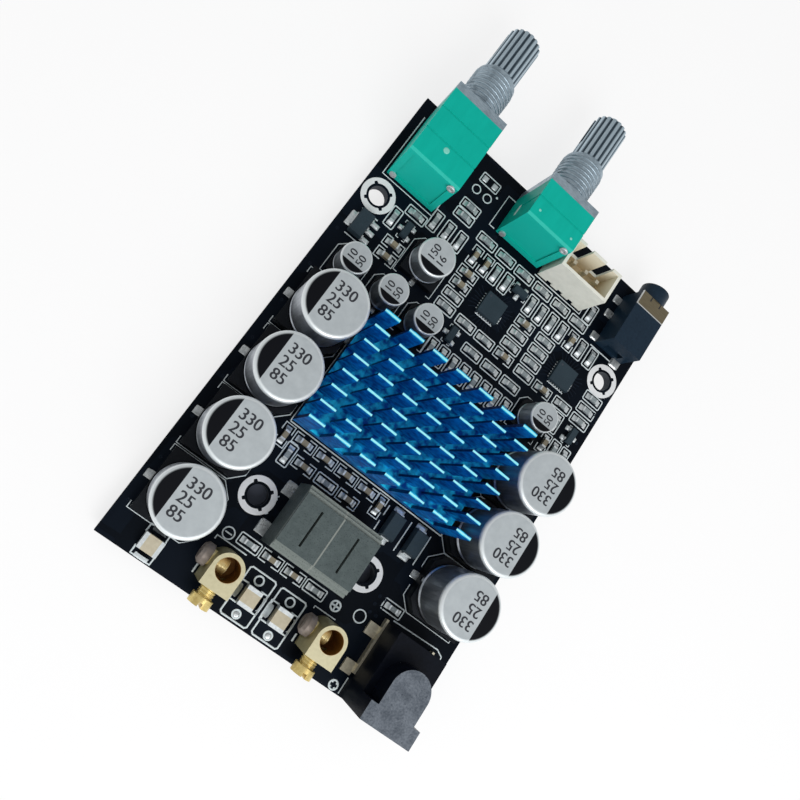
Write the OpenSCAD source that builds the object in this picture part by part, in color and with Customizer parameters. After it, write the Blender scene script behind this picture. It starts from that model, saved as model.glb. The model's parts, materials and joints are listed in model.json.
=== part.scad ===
// Mono audio amplifier board: a black circuit board with a finned heatsink, two control
// potentiometers, a power jack, screw terminals and surface-mounted parts.
// The board's lower left corner is the layout's zero. The frame's origin is midway between
// the two lower mounting holes, on the board's underside, with +Z up.

/* [Board] */
// width across the board
board_w = 56; // [56:0.5:62]
// length from the power end to the control end
board_l = 84.5; // [84.5:0.5:94]
// thickness
board_t = 1.6; // [1.2:0.1:2.0]
// mounting hole diameter
hole_d = 3.2; // [2.6:0.1:3.4]
// distance between the two lower mounting holes
lower_hole_spacing = 20.6; // [20.6:0.1:22]
// how far the soldered pins stand out under the board
pin_drop = 1.2; // [0.8:0.1:1.4]

/* [Electrolytic capacitors] */
// can diameter of the bulk capacitors
bulk_d = 10; // [9:0.1:10.2]
// height of the bulk capacitors above the board
bulk_h = 10.2; // [8:0.1:12]
// can diameter of the small capacitors
small_d = 5; // [4:0.1:5.2]
// height of the small capacitors above the board
small_h = 5.4; // [4.5:0.1:7]
// can diameter of the input capacitor
input_d = 6.3; // [5:0.1:6.6]
// height of the input capacitor above the board
input_h = 5.4; // [5:0.1:9]

/* [Heatsink] */
// length across the board
heatsink_l = 29.7; // [26:0.1:30]
// width along the board
heatsink_w = 19.1; // [17:0.1:19.6]
// height from the underside of its base to the fin tops
heatsink_h = 9.7; // [6:0.1:14]
// number of fin columns across the board
fin_columns = 7; // [5:1:7]
// number of fin rows along the board
fin_rows = 8; // [6:1:8]
// fin thickness
fin_t = 0.4; // [0.3:0.05:0.8]

/* [Controls] */
// width of each potentiometer
pot_w = 9.5; // [9:0.1:9.8]
// height of each potentiometer above the board
pot_h = 10; // [9.5:0.1:11]
// depth of the volume potentiometer's green body
volume_depth = 12.3; // [11:0.1:12.6]
// depth of the tone potentiometer's green body
tone_depth = 7.1; // [6:0.1:7.6]
// shaft diameter
shaft_d = 6; // [5:0.1:6.2]
// shaft length from the front plate
shaft_l = 17.1; // [14:0.1:20]
// number of knurl teeth
knurl_teeth = 18; // [12:1:20]

/* [Power and signal connectors] */
// width of the power jack
power_w = 8.9; // [8:0.1:9.2]
// height of the power jack's front flange
power_h = 10; // [9.6:0.1:11]
// bore of the power jack
power_bore_d = 5.8; // [5.4:0.1:5.9]
// wire hole of each screw terminal
wire_hole_d = 3.5; // [3:0.1:3.6]
// height of each screw terminal
terminal_h = 6.4; // [6:0.1:7]
// height of the pin header
header_h = 7; // [6:0.1:8]
// bore of the audio jack
audio_bore_d = 3.6; // [3.5:0.05:3.7]

/* [Hidden] */
$fn = 48;
cut = 0.5;
// radial play between each shaft and its bush, and each screw and its thread
run_gap = 0.04;
// play round a pin in its board hole
pin_gap = 0.1;

// Layout
top = board_t;
// board width for which the places of the small parts are given
plan_w = 56;
lower_hole_x = board_w / 2 - 2;
lower_hole_y = 17;
hole_left = [3.2, board_l - 18.8];
hole_right = [board_w - 3.2, board_l - 17.2];
holes = [
    hole_left,
    hole_right,
    [lower_hole_x - lower_hole_spacing / 2, lower_hole_y],
    [lower_hole_x + lower_hole_spacing / 2, lower_hole_y]
];

// Heatsink stack
chip_h = 1;
pad_t = 0.25;
sink_x = board_w / 2 - 0.2;
sink_y = 38.4;
sink_z = top + chip_h + pad_t;
sink_base_t = 1.8;
fin_l = 2.7;
end_fin_t = fin_t + 0.15;
fin_pitch_x = (heatsink_l - fin_l) / (fin_columns - 1);
fin_pitch_y = (heatsink_w - end_fin_t) / (fin_rows - 1);

// Electrolytic capacitors: place and turn. The stripe is on the left at turn 0, towards the
// power end at 90 and on the right at 180.
// The bulk capacitors stand in a row at each end of the heatsink.
base_margin = 0.15;
bulk_base_w = bulk_d + 2 * base_margin;
left_sink_gap = 0.75;
right_sink_gap = 1.15;
bulk_left_x = sink_x - heatsink_l / 2 - left_sink_gap - bulk_base_w / 2;
bulk_right_x = sink_x + heatsink_l / 2 + right_sink_gap + bulk_base_w / 2;
bulk_places = concat(
    [for (i = [0:3]) [bulk_left_x, 10.5 + i * (bulk_d + 1.2), 0]],
    [for (i = [0:2]) [bulk_right_x, 21.4 + i * (bulk_d + 1), 180]]
);
small_y = 53.2;
small_places = [for (x = [5.9, 13.2, 20.2, 44.9]) [x, small_y, 90]];
input_place = [15.7, 61.8, 90];
lead_t = 0.25;

// Inductor
coil_x = lower_hole_x + 0.4;
coil_y = 17.1;
coil_w = 13.1;
coil_l = 7.8;
coil_h = 8;
coil_lift = 0.3;

// Screw terminals
terminal_xs = [across(17.3), across(35.5)];
terminal_w = 4.75;
terminal_front = 2.75;
wire_y = 6.15;
screw_z = top + 2.9;
screw_r = 1.2;
screw_head_r = 1.7;
screw_head_t = 1.45;
side_head_gap = 0.3;
side_tip_l = 2;
neck_l = 1.55;

// Power jack
power_x = board_w - 8.05;
power_front = 0.2;
power_flange_t = 3;
power_rear = 13;
power_body_h = 6.4;
barrel_w = 6.4;
power_bore_z = top + 4.3;
power_bore_l = 9.2;

// Potentiometers
pot_back_y = board_l - 2.45;
plate_t = 1.35;
plate_front = pot_back_y + plate_t;
pot_axis_z = top + pot_h / 2;
bush_r = 3.5;
bush_l = 8.2;
volume_x = 6.75;
tone_x = across(26.8);
pin_w = 0.7;
pin_pitch = 2.5;

// Pin header
header_w = 2 * pin_pitch + 4.9;
header_gap = 0.7;
header_x = tone_x + pot_w / 2 + header_gap + header_w / 2;
header_back = board_l - 10.2;
header_d = 5.75;
header_wall = 0.55;
header_floor = 1.4;
header_pin_w = 0.64;

// Audio jack
audio_x = board_w - 5.2;
audio_w = 6.1;
audio_h = 5.2;
audio_back = board_l - 12.6;
audio_body_l = 7.7;
audio_plate_l = 2.75;
audio_plate_t = 0.2;
audio_nose_l = 2.55;
audio_nose_r = 2.45;
audio_axis_z = top + 3;

// Surface-mounted chips: rows of [x, y, step x, step y, count, turn]
chip_l = 1.6;
chip_w = 0.8;
chip_end = 0.3;
resistor_h = 0.45;
ceramic_h = 0.8;
resistor_rows = [
    [21.9, board_l - 12.1, 4.28, 0, 6, 0],
    [26.2, board_l - 15.5, 2.4, 0, 2, 90],
    [34.3, board_l - 15.5, 2.4, 0, 4, 90],
    [46.2, board_l - 15.5, 2.5, 0, 2, 90],
    [44.3, board_l - 9.2, 0, 0, 1, 90],
    [16.3, board_l - 11.5, 0, 2, 2, 0],
    [12.9, 69, 2.6, 0, 3, 90],
    [9.9, 67.5, 0, 0, 1, 0],
    [7.15, 64.6, 0, 0, 1, 90],
    [22.4, 58.8, 0, 2.3, 2, 0],
    [35.4, 61.1, 0, 2.3, 2, 0],
    [40.1, 58.8, 0, 2.3, 4, 0],
    [26.9, 58.8, 4.2, 0, 2, 0],
    [48.9, 59, 0, 0, 1, 0],
    [53.2, 58.8, 0, 2.35, 3, 0],
    [30.5, 55.7, 4.3, 0, 3, 0],
    [49.6, 55.9, 0, 0, 1, 90],
    [24.3, 51.8, 2.3, 0, 8, 90],
    [51.9, 51.8, 2.2, 0, 2, 90],
    [15.7, 24.4, 0, 0, 1, 90],
    [23.1, 24.4, 0, 0, 1, 0],
    [43.3, 15.1, 0, 0, 1, 0],
    [18.9, 10.6, 12.3, 0, 2, 0]
];
ceramic_rows = [
    [21.6, board_l - 15.5, 2.4, 0, 2, 90],
    [43.9, board_l - 15.5, 0, 0, 1, 90],
    [22.4, 63.4, 0, 2.3, 2, 0],
    [35.4, 58.8, 0, 6.9, 2, 0],
    [44.4, 58.8, 0, 0, 1, 0],
    [9.8, 58.6, 0, 2.4, 2, 0],
    [49.7, 51.8, 0, 0, 1, 90],
    [16.8, 27.3, 4.1, 0, 4, 0],
    [13.6, 26.5, 18.4, 0, 2, 90],
    [18.8, 24.4, 8.5, 0, 2, 0],
    [23, 10.6, 4.1, 0, 2, 0]
];
large_ceramic_l = 3.2;
large_ceramic_w = 2.5;
large_ceramic_h = 1.6;
large_ceramic_end = 0.6;
large_ceramic_places = [[23.4, 4.4, 90], [29, 4.4, 90], [7.4, 2.75, 0]];

// Chips with leads
lead_foot = 0.2;
amp_l = 11;
amp_w = 6.2;
quad_w = 4;
quad_h = 0.85;
quad_left = [28.9, 63.8];
quad_right = [46, 63];
regulator_place = [3.65, 59.9];
regulator_w = 2.5;
regulator_l = 4.5;
regulator_h = 1.5;
diode_places = [[35.4, 25.2], [40, 25.2]];
diode_w = 2.6;
diode_l = 4.3;
diode_h = 2;
transistor_places = [[10, 64.2, 0], [31.4, 69.3, 90], [25.8, 55.7, 0], [53.1, 55.7, 180]];
transistor_w = 1.3;
transistor_l = 2.9;
transistor_h = 1;

// Moves the layout so that the frame's origin is midway between the lower holes
module layout() {
    translate([-lower_hole_x, -lower_hole_y, 0]) children();
}

// A box centred on x and y, standing on z = 0
module block(size) {
    translate([-size[0] / 2, -size[1] / 2, 0]) cube(size);
}

// A round bar along +Y from the origin
module bar_y(r, l) {
    rotate([-90, 0, 0]) cylinder(r = r, h = l);
}

// A round bar along +X from the origin
module bar_x(r, l) {
    rotate([0, 90, 0]) cylinder(r = r, h = l);
}

// Puts its children on the board at a place of [x, y, turn]
module at(place) {
    translate([place[0], place[1], top]) rotate([0, 0, place[2]]) children();
}

// The same at a place on the plan, which spreads out or closes up with the board's width
function across(x) = x * board_w / plan_w;
module on_plan(place) {
    at([across(place[0]), place[1], len(place) > 2 ? place[2] : 0]) children();
}

// Places of the pins that pass through the board, as [x, y, hole radius]
function pot_pins(x, depth, gangs) = [
    for (g = [0:gangs - 1], k = [-1:1])
        [x + k * pin_pitch, pot_back_y - depth + 2.4 + g * 5, pin_w * 0.75 + pin_gap]
];
header_pins_at = [for (k = [-1:1]) [header_x + k * pin_pitch, header_back + header_d / 2, 0.55]];
terminal_legs_at = [for (x = terminal_xs, y = [4, 7.4]) [x, y, 0.7]];
board_pins = concat(
    pot_pins(volume_x, volume_depth, 2),
    pot_pins(tone_x, tone_depth, 1),
    header_pins_at,
    terminal_legs_at
);

module circuit_board() {
    color("#101418")
    layout()
    difference() {
        cube([board_w, board_l, board_t]);
        for (h = holes) translate([h[0], h[1], -cut]) cylinder(d = hole_d, h = board_t + 2 * cut);
        for (p = board_pins) translate([p[0], p[1], -cut]) cylinder(r = p[2], h = board_t + 2 * cut);
    }
}

// Aluminium can: a deep-drawn cup with a rolled bead near its foot and a rounded top edge
module can(d, h) {
    r = d / 2;
    foot = base_height(d);
    edge = d * 0.06;
    bead = d * 0.035;
    bead_z = foot + d * 0.14;
    rotate_extrude()
    polygon(concat(
        [[0, foot], [r - bead, foot], [r, foot + bead]],
        [[r, bead_z - bead], [r - bead, bead_z], [r, bead_z + bead]],
        [for (a = [0:22.5:90]) [r - edge + edge * cos(a), h - edge + edge * sin(a)]],
        [[0, h]]
    ));
}

function base_height(d) = d * 0.13;

// Moulded base: square, two corners cut on the positive side, with a lug at each corner
module can_base(d) {
    w = d + 2 * base_margin;
    cutback = d * 0.18;
    lug_h = d * 0.22;
    difference() {
        linear_extrude(lug_h)
        polygon([
            [-w / 2, -w / 2],
            [w / 2 - cutback, -w / 2],
            [w / 2, -w / 2 + cutback],
            [w / 2, w / 2 - cutback],
            [w / 2 - cutback, w / 2],
            [-w / 2, w / 2]
        ]);
        translate([0, 0, base_height(d)]) cylinder(d = w + 0.02, h = lug_h);
        for (s = [-1, 1]) translate([s * (lead_inner(d) + d / 2), 0, -cut]) block([d, d * 0.14, cut + lead_t]);
    }
}

// Distance from a capacitor's axis to the inner end of each solder tab, and what shows of the tab
function lead_inner(d) = d * 0.15;
function lead_out(d) = d * 0.11;

// The two solder tabs of one capacitor, in the grooves under its base
module can_leads(d) {
    l = d / 2 + base_margin + lead_out(d) - lead_inner(d);
    for (s = [-1, 1]) translate([s * (lead_inner(d) + l / 2), 0, 0]) block([l, d * 0.12, lead_t]);
}

module bulk_capacitor_can(i) {
    color("#c4c7cb") layout() at(bulk_places[i]) can(bulk_d, bulk_h);
}

module bulk_capacitor_base(i) {
    color("#17181a") layout() at(bulk_places[i]) can_base(bulk_d);
}

module small_capacitor_can(i) {
    color("#c4c7cb") layout() on_plan(small_places[i]) can(small_d, small_h);
}

module small_capacitor_bases() {
    color("#17181a") layout() for (p = small_places) on_plan(p) can_base(small_d);
}

module input_capacitor_can() {
    color("#c4c7cb") layout() on_plan(input_place) can(input_d, input_h);
}

module input_capacitor_base() {
    color("#17181a") layout() on_plan(input_place) can_base(input_d);
}

module capacitor_leads() {
    color("#cfd2d4")
    layout() {
        for (p = bulk_places) at(p) can_leads(bulk_d);
        for (p = small_places) on_plan(p) can_leads(small_d);
        on_plan(input_place) can_leads(input_d);
    }
}

// Extruded heatsink with its fins cross-cut into short blades, thicker in the first and last row
module heatsink() {
    color("#1668b8")
    layout()
    translate([sink_x, sink_y, sink_z]) {
        block([heatsink_l, heatsink_w, sink_base_t]);
        for (i = [0:fin_columns - 1], j = [0:fin_rows - 1])
            translate([
                (i - (fin_columns - 1) / 2) * fin_pitch_x,
                (j - (fin_rows - 1) / 2) * fin_pitch_y,
                sink_base_t - cut
            ])
            block([fin_l, j % (fin_rows - 1) == 0 ? end_fin_t : fin_t, heatsink_h - sink_base_t + cut]);
    }
}

module thermal_pad() {
    color("#9aa3aa") layout() translate([sink_x, sink_y, top + chip_h]) block([amp_l, amp_w, pad_t]);
}

module amplifier_chip() {
    color("#1b1c1e") layout() translate([sink_x, sink_y, top]) block([amp_l, amp_w, chip_h]);
}

// Ferrite half core: gap slot in the top and stepped flanges along both long edges
module core_half(side) {
    w = coil_w / 2;
    flange = 1.2;
    slot_w = 0.35;
    slot_l = 5.7;
    difference() {
        union() {
            translate([side * w / 2, 0, coil_lift]) block([w, coil_l, coil_h - coil_lift]);
            translate([side * w / 2, 0, coil_lift]) block([w, coil_l + flange, coil_h - coil_lift - 0.4]);
            translate([side * w / 2, 0, coil_lift]) block([w, coil_l + 2 * flange, coil_h - coil_lift - 0.8]);
        }
        translate([side * w / 2, 0, coil_h - 2]) block([slot_w, slot_l, 2 + cut]);
    }
}

module inductor_core_left() {
    color("#4c5251") layout() translate([coil_x, coil_y, top]) core_half(-1);
}

module inductor_core_right() {
    color("#4c5251") layout() translate([coil_x, coil_y, top]) core_half(1);
}

// Four flat solder tabs under the core's corners
module inductor_leads() {
    color("#c9c6bd")
    layout()
    translate([coil_x, coil_y, top])
    for (sx = [-1, 1], sy = [-1, 1])
        translate([sx * (coil_w / 2 + 0.3), sy * 3.4, 0]) block([2.6, 2.2, coil_lift]);
}

// Brass terminal: D-shaped in plan, with an upright wire hole and two screw holes
module terminal(x) {
    r = terminal_w / 2;
    color("#d9cf9a")
    layout() {
        difference() {
            union() {
                translate([x, wire_y, top]) cylinder(r = r, h = terminal_h);
                translate([x - r, terminal_front, top]) cube([terminal_w, wire_y - terminal_front, terminal_h]);
            }
            translate([x, wire_y, top + 1]) cylinder(d = wire_hole_d, h = terminal_h);
            translate([x - r - cut, wire_y, screw_z]) bar_x(screw_r + run_gap, r + cut);
            translate([x, terminal_front - cut, screw_z]) bar_y(screw_r + run_gap, wire_y - terminal_front + cut);
        }
        for (y = [4, 7.4]) translate([x, y, -pin_drop]) cylinder(r = 0.6, h = top + pin_drop);
    }
}

// Pan-head screw that enters along +X, with a cross-slot in its head
module side_screw(x) {
    head_x = x - terminal_w / 2 - side_head_gap - screw_head_t;
    tip = side_head_gap + (terminal_w - wire_hole_d) / 2 + side_tip_l;
    cone = 0.45;
    color("#8a8378")
    layout()
    translate([head_x, wire_y, screw_z])
    difference() {
        union() {
            rotate([0, 90, 0]) cylinder(r1 = screw_head_r - cone, r2 = screw_head_r, h = cone);
            translate([cone, 0, 0]) bar_x(screw_head_r, screw_head_t - cone);
            bar_x(screw_r, screw_head_t + tip);
        }
        translate([0, 0, -0.25]) block([1.4, 2 * screw_head_r + cut, 0.5]);
    }
}

// Clamp screw that enters along +Y, with a slotted head over the board's edge
module front_screw(x) {
    head_y = terminal_front - neck_l - screw_head_t;
    tip = wire_y - wire_hole_d / 2 - terminal_front;
    color("#c9a94e")
    layout()
    translate([x, head_y, screw_z])
    difference() {
        union() {
            bar_y(screw_head_r, screw_head_t);
            bar_y(screw_r, screw_head_t + neck_l + tip);
        }
        translate([0, 0, -screw_head_r - cut]) block([0.6, 1.4, 2 * (screw_head_r + cut)]);
    }
}

module negative_terminal() terminal(terminal_xs[0]);
module negative_side_screw() side_screw(terminal_xs[0]);
module negative_front_screw() front_screw(terminal_xs[0]);
module positive_terminal() terminal(terminal_xs[1]);
module positive_side_screw() side_screw(terminal_xs[1]);
module positive_front_screw() front_screw(terminal_xs[1]);

// Power jack: tall front flange, low body and a round-ended barrel, bored from the front
module power_jack_housing() {
    end_r = barrel_w / 2;
    barrel_rear = 10;
    color("#3a3d41")
    layout()
    difference() {
        union() {
            translate([power_x, power_front + power_flange_t / 2, top]) block([power_w, power_flange_t, power_h]);
            translate([power_x, (power_front + power_rear) / 2, top])
                block([power_w, power_rear - power_front, power_body_h]);
            translate([power_x, barrel_rear - end_r, top]) cylinder(r = end_r, h = power_h);
            translate([power_x, (power_front + barrel_rear - end_r) / 2, top])
                block([barrel_w, barrel_rear - end_r - power_front, power_h]);
        }
        translate([power_x, power_front - cut, power_bore_z]) bar_y(power_bore_d / 2, power_bore_l + cut);
    }
}

module power_jack_pin() {
    color("#c8c9c4")
    layout()
    translate([power_x, power_front + 1.2, power_bore_z])
    bar_y(1, power_bore_l - 1.2);
}

// Solder tabs that stand out on both sides of the power jack
module power_jack_contacts() {
    tab_l = 1.9;
    tab_w = 2.1;
    strip_t = 0.4;
    strip_l = 9.4;
    strip_y = 8.7;
    color("#d8d4c4")
    layout()
    for (s = [-1, 1])
        translate([power_x + s * (power_w / 2 + strip_t / 2), 0, top]) {
            translate([0, strip_y, 0]) block([strip_t, strip_l, 1]);
            for (y = [4.4, 10.8])
                translate([s * (strip_t + tab_l) / 2, y, 0]) block([tab_l, tab_w, strip_t]);
        }
}

// Zinc front plate with a round bush for the panel nut
module pot_bush(x) {
    color("#8e959c")
    layout()
    difference() {
        union() {
            translate([x, pot_back_y + plate_t / 2, top]) block([pot_w, plate_t, pot_h]);
            translate([x, plate_front, pot_axis_z]) bar_y(bush_r, bush_l - 0.5);
            translate([x, plate_front + bush_l - 0.5, pot_axis_z])
                rotate([-90, 0, 0]) cylinder(r1 = bush_r, r2 = bush_r - 0.4, h = 0.5);
        }
        translate([x, pot_back_y - cut, pot_axis_z]) bar_y(shaft_d / 2 + run_gap, plate_t + bush_l + 2 * cut);
    }
}

// Green moulded body: stacked sections parted by grooves, a chamfered rear edge and a back panel
module pot_body(x, depth, gangs) {
    groove = 0.1;
    groove_w = 0.3;
    panel = 1.1;
    panel_deep = 0.25;
    chamfer = 0.35;
    color("#129a86")
    layout()
    difference() {
        translate([x, pot_back_y - depth / 2, top]) block([pot_w, depth, pot_h]);
        for (g = [1:gangs]) {
            y = pot_back_y - depth + g * (depth - 2) / (gangs + 0.4);
            difference() {
                translate([x, y, top + 1]) block([pot_w + cut, groove_w, pot_h]);
                translate([x, y, top]) block([pot_w - 2 * groove, 1, pot_h - groove]);
            }
        }
        translate([x, pot_back_y - depth, top + panel])
            block([pot_w - 2 * panel, 2 * panel_deep, pot_h - 2 * panel]);
        translate([x - pot_w / 2 - cut, pot_back_y - depth, top + pot_h])
            rotate([45, 0, 0])
            translate([0, -chamfer * sqrt(2), -chamfer / sqrt(2)])
            cube([pot_w + 2 * cut, 2 * chamfer * sqrt(2), chamfer * sqrt(2)]);
    }
}

// Split knurled shaft: a plain journal in the bush and a toothed end with a slit
module pot_shaft(x) {
    r = shaft_d / 2;
    crest = r - 0.04;
    root = r - 0.3;
    slit = 1;
    slit_l = 6.2;
    knurl_l = shaft_l - bush_l;
    start = pot_back_y + 0.1;
    step = 360 / knurl_teeth;
    color("#9aa0a6")
    layout()
    difference() {
        union() {
            translate([x, start, pot_axis_z]) bar_y(r, plate_front + bush_l - start);
            translate([x, plate_front + bush_l, pot_axis_z])
                rotate([-90, 0, 0])
                linear_extrude(knurl_l - 0.6)
                polygon([
                    for (i = [0:knurl_teeth - 1], p = [[0, root], [0.3, crest], [0.7, crest]])
                        let (a = (i + p[0]) * step) p[1] * [cos(a), sin(a)]
                ]);
            translate([x, plate_front + shaft_l - 0.6, pot_axis_z])
                rotate([-90, 0, 0]) cylinder(r1 = root - 0.05, r2 = root - 0.5, h = 0.6);
        }
        translate([x, plate_front + shaft_l - slit_l / 2 + cut / 2, pot_axis_z - slit / 2])
            block([2 * (r + cut), slit_l + cut, slit]);
    }
}

// Soldered pins under the body and the two rivet ends on its back
module pot_terminals(x, depth, gangs) {
    rivet_r = 0.6;
    inset = 0.95;
    color("#c9cbc9")
    layout() {
        for (p = pot_pins(x, depth, gangs))
            translate([p[0], p[1], -pin_drop]) block([pin_w, pin_w, top + pin_drop]);
        for (s = [-1, 1])
            translate([x + s * (pot_w / 2 - inset), pot_back_y - depth - 0.3, pot_axis_z + s * (pot_h / 2 - inset)])
            bar_y(rivet_r, 0.3);
    }
}

module volume_bush() pot_bush(volume_x);
module volume_body() pot_body(volume_x, volume_depth, 2);
module volume_shaft() pot_shaft(volume_x);
module volume_terminals() pot_terminals(volume_x, volume_depth, 2);
module tone_bush() pot_bush(tone_x);
module tone_body() pot_body(tone_x, tone_depth, 1);
module tone_shaft() pot_shaft(tone_x);
module tone_terminals() pot_terminals(tone_x, tone_depth, 1);

// Upright pin header shroud: open top, two keyways in its front wall, foot notches behind
module header_housing() {
    color("#d9d3c0")
    layout()
    translate([header_x, header_back + header_d / 2, top])
    difference() {
        block([header_w, header_d, header_h]);
        translate([0, 0, header_floor])
            block([header_w - 2 * header_wall, header_d - 2 * header_wall, header_h]);
        for (s = [-1, 1])
            translate([s * pin_pitch * 0.9, header_d / 2, header_floor + 1]) block([1.6, 3 * header_wall, header_h]);
        for (k = [-1:1])
            translate([k * pin_pitch, -header_d / 2, -cut]) block([1, 1.2, 0.6 + cut]);
        for (k = [-1:1])
            translate([k * pin_pitch, 0, -cut]) block([header_pin_w, header_pin_w, header_floor + 2 * cut]);
    }
}

module header_pins() {
    color("#cfcaba")
    layout()
    for (p = header_pins_at)
        translate([p[0], p[1], -pin_drop])
        block([header_pin_w, header_pin_w, top + pin_drop + header_h - 1.6]);
}

// Audio jack: a low body, a front block under a metal plate and a round nose, bored for the plug
module audio_jack_housing() {
    plate_y = audio_back + audio_body_l;
    front = plate_y + audio_plate_l;
    bore_back = 1.2;
    slot_w = 3.4;
    slot_h = 1.6;
    slot_deep = 0.8;
    slot_lift = 0.8;
    color("#15181d")
    layout()
    difference() {
        union() {
            translate([audio_x, audio_back + audio_body_l / 2, top]) block([audio_w, audio_body_l, audio_h]);
            translate([audio_x, plate_y + audio_plate_l / 2, top])
                block([audio_w, audio_plate_l, audio_h - audio_plate_t]);
            translate([audio_x, front, audio_axis_z]) bar_y(audio_nose_r, audio_nose_l);
        }
        translate([audio_x, audio_back + bore_back, audio_axis_z])
            bar_y(audio_bore_d / 2, front + audio_nose_l + cut - audio_back - bore_back);
        translate([audio_x, audio_back, top + slot_lift]) block([slot_w, 2 * slot_deep, slot_h]);
    }
}

module audio_jack_plate() {
    color("#6b6248")
    layout()
    translate([audio_x, audio_back + audio_body_l + audio_plate_l / 2, top + audio_h - audio_plate_t])
    block([audio_w, audio_plate_l, audio_plate_t]);
}

// Three solder tabs along the body's inner side and one behind its outer corner
module audio_jack_contacts() {
    tab_l = 1.2;
    tab_w = 1.1;
    tab_t = 0.3;
    rear_w = 1.6;
    color("#d0d1cd")
    layout() {
        for (y = [0.9, 5.9, 9])
            translate([audio_x - audio_w / 2 - tab_l / 2, audio_back + y, top]) block([tab_l, tab_w, tab_t]);
        translate([audio_x + (audio_w - rear_w) / 2, audio_back - tab_l / 2, top]) block([rear_w, tab_l, tab_t]);
    }
}

module quad_chip(place) {
    color("#1d2024") layout() on_plan(place) block([quad_w, quad_w, quad_h]);
}

module preamp_chip() quad_chip(quad_left);
module filter_chip() quad_chip(quad_right);

// Moulded chip body: all four sides slope away from a parting line at half its height
module moulded(size) {
    draft = size[2] * 0.12;
    intersection() {
        moulded_bar(size[0], size[1], size[2], draft);
        rotate([0, 0, 90]) moulded_bar(size[1], size[0], size[2], draft);
    }
}

// A bar along Y whose two long sides slope away from the parting line
module moulded_bar(w, l, h, draft) {
    rotate([90, 0, 0])
    linear_extrude(l, center = true)
    polygon([
        [-w / 2 + draft, 0],
        [w / 2 - draft, 0],
        [w / 2, h / 2],
        [w / 2 - draft, h],
        [-w / 2 + draft, h],
        [-w / 2, h / 2]
    ]);
}

module regulator() {
    color("#1b1c1f") layout() on_plan(regulator_place) moulded([regulator_w, regulator_l, regulator_h]);
}

module diodes_and_transistors() {
    color("#1a1b1e")
    layout() {
        for (p = diode_places) on_plan(p) moulded([diode_w, diode_l, diode_h]);
        for (p = transistor_places) on_plan(p) moulded([transistor_w, transistor_l, transistor_h]);
    }
}

// A bent lead from the parting line at x = 0 down to a foot of length l along +X
module bent_lead(l, w, h) {
    translate([l / 2, 0, 0]) block([l, w, lead_foot]);
    translate([lead_foot / 2, 0, 0]) block([lead_foot, w, h / 2 + lead_foot / 2]);
}

// Leads soldered to the board beside each leaded chip
module chip_leads() {
    color("#cfd1d0")
    layout() {
        translate([sink_x, sink_y, top])
        for (s = [-1, 1], k = [-7.5:1:7.5])
            translate([k * 0.65, s * (amp_w / 2 + 0.5), 0]) block([0.3, 1, lead_foot]);
        on_plan(regulator_place) {
            for (k = [-1:1]) translate([regulator_w / 2, k * 1.55, 0]) bent_lead(1.3, 0.5, regulator_h);
            translate([-regulator_w / 2, 0, 0]) rotate([0, 0, 180]) bent_lead(0.8, 2.3, regulator_h);
        }
        for (p = diode_places, s = [-1, 1])
            on_plan(p) rotate([0, 0, s * 90]) translate([diode_l / 2, 0, 0]) bent_lead(0.8, 1.5, diode_h);
        for (p = transistor_places)
            on_plan(p)
            for (q = [[180, 0], [0, -0.95], [0, 0.95]])
                rotate([0, 0, q[0]]) translate([transistor_w / 2, q[1], 0]) bent_lead(0.6, 0.45, transistor_h);
    }
}

// Draws its children at each place of a list of rows
module along(rows) {
    for (r = rows, i = [0:r[4] - 1])
        on_plan([r[0] + i * r[2], r[1] + i * r[3], r[5]])
        children();
}

module chip_pair_ends(l, w, h, end) {
    for (s = [-1, 1]) translate([s * (l - end) / 2, 0, 0]) block([end, w, h]);
}

module chip_resistors() {
    color("#202225") layout() along(resistor_rows) block([chip_l - 2 * chip_end, chip_w, resistor_h]);
}

module chip_ceramics() {
    color("#b09c80")
    layout() {
        along(ceramic_rows) block([chip_l - 2 * chip_end, chip_w, ceramic_h]);
        for (p = large_ceramic_places)
            on_plan(p) block([large_ceramic_l - 2 * large_ceramic_end, large_ceramic_w, large_ceramic_h]);
    }
}

module chip_ends() {
    color("#d4d6d5")
    layout() {
        along(resistor_rows) chip_pair_ends(chip_l, chip_w, resistor_h, chip_end);
        along(ceramic_rows) chip_pair_ends(chip_l, chip_w, ceramic_h, chip_end);
        for (p = large_ceramic_places)
            on_plan(p) chip_pair_ends(large_ceramic_l, large_ceramic_w, large_ceramic_h, large_ceramic_end);
    }
}

circuit_board();
heatsink();
thermal_pad();
amplifier_chip();
for (i = [0:6]) bulk_capacitor_can(i);
for (i = [0:6]) bulk_capacitor_base(i);
for (i = [0:3]) small_capacitor_can(i);
small_capacitor_bases();
input_capacitor_can();
input_capacitor_base();
capacitor_leads();
inductor_core_left();
inductor_core_right();
inductor_leads();
negative_terminal();
negative_side_screw();
negative_front_screw();
positive_terminal();
positive_side_screw();
positive_front_screw();
power_jack_housing();
power_jack_pin();
power_jack_contacts();
volume_bush();
volume_body();
volume_shaft();
volume_terminals();
tone_bush();
tone_body();
tone_shaft();
tone_terminals();
header_housing();
header_pins();
audio_jack_housing();
audio_jack_plate();
audio_jack_contacts();
preamp_chip();
filter_chip();
regulator();
diodes_and_transistors();
chip_leads();
chip_resistors();
chip_ceramics();
chip_ends();
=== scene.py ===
# %% [markdown]
# # Audio amplifier board
# This lesson dresses a small amplifier board whose solid parts come from a CAD model. The solids
# stay exactly where they are. Blender adds what a solid model leaves out: finishes, the white
# print on the board, solder, screw threads and the marks on the capacitor cans.

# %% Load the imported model
import json
import math

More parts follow.
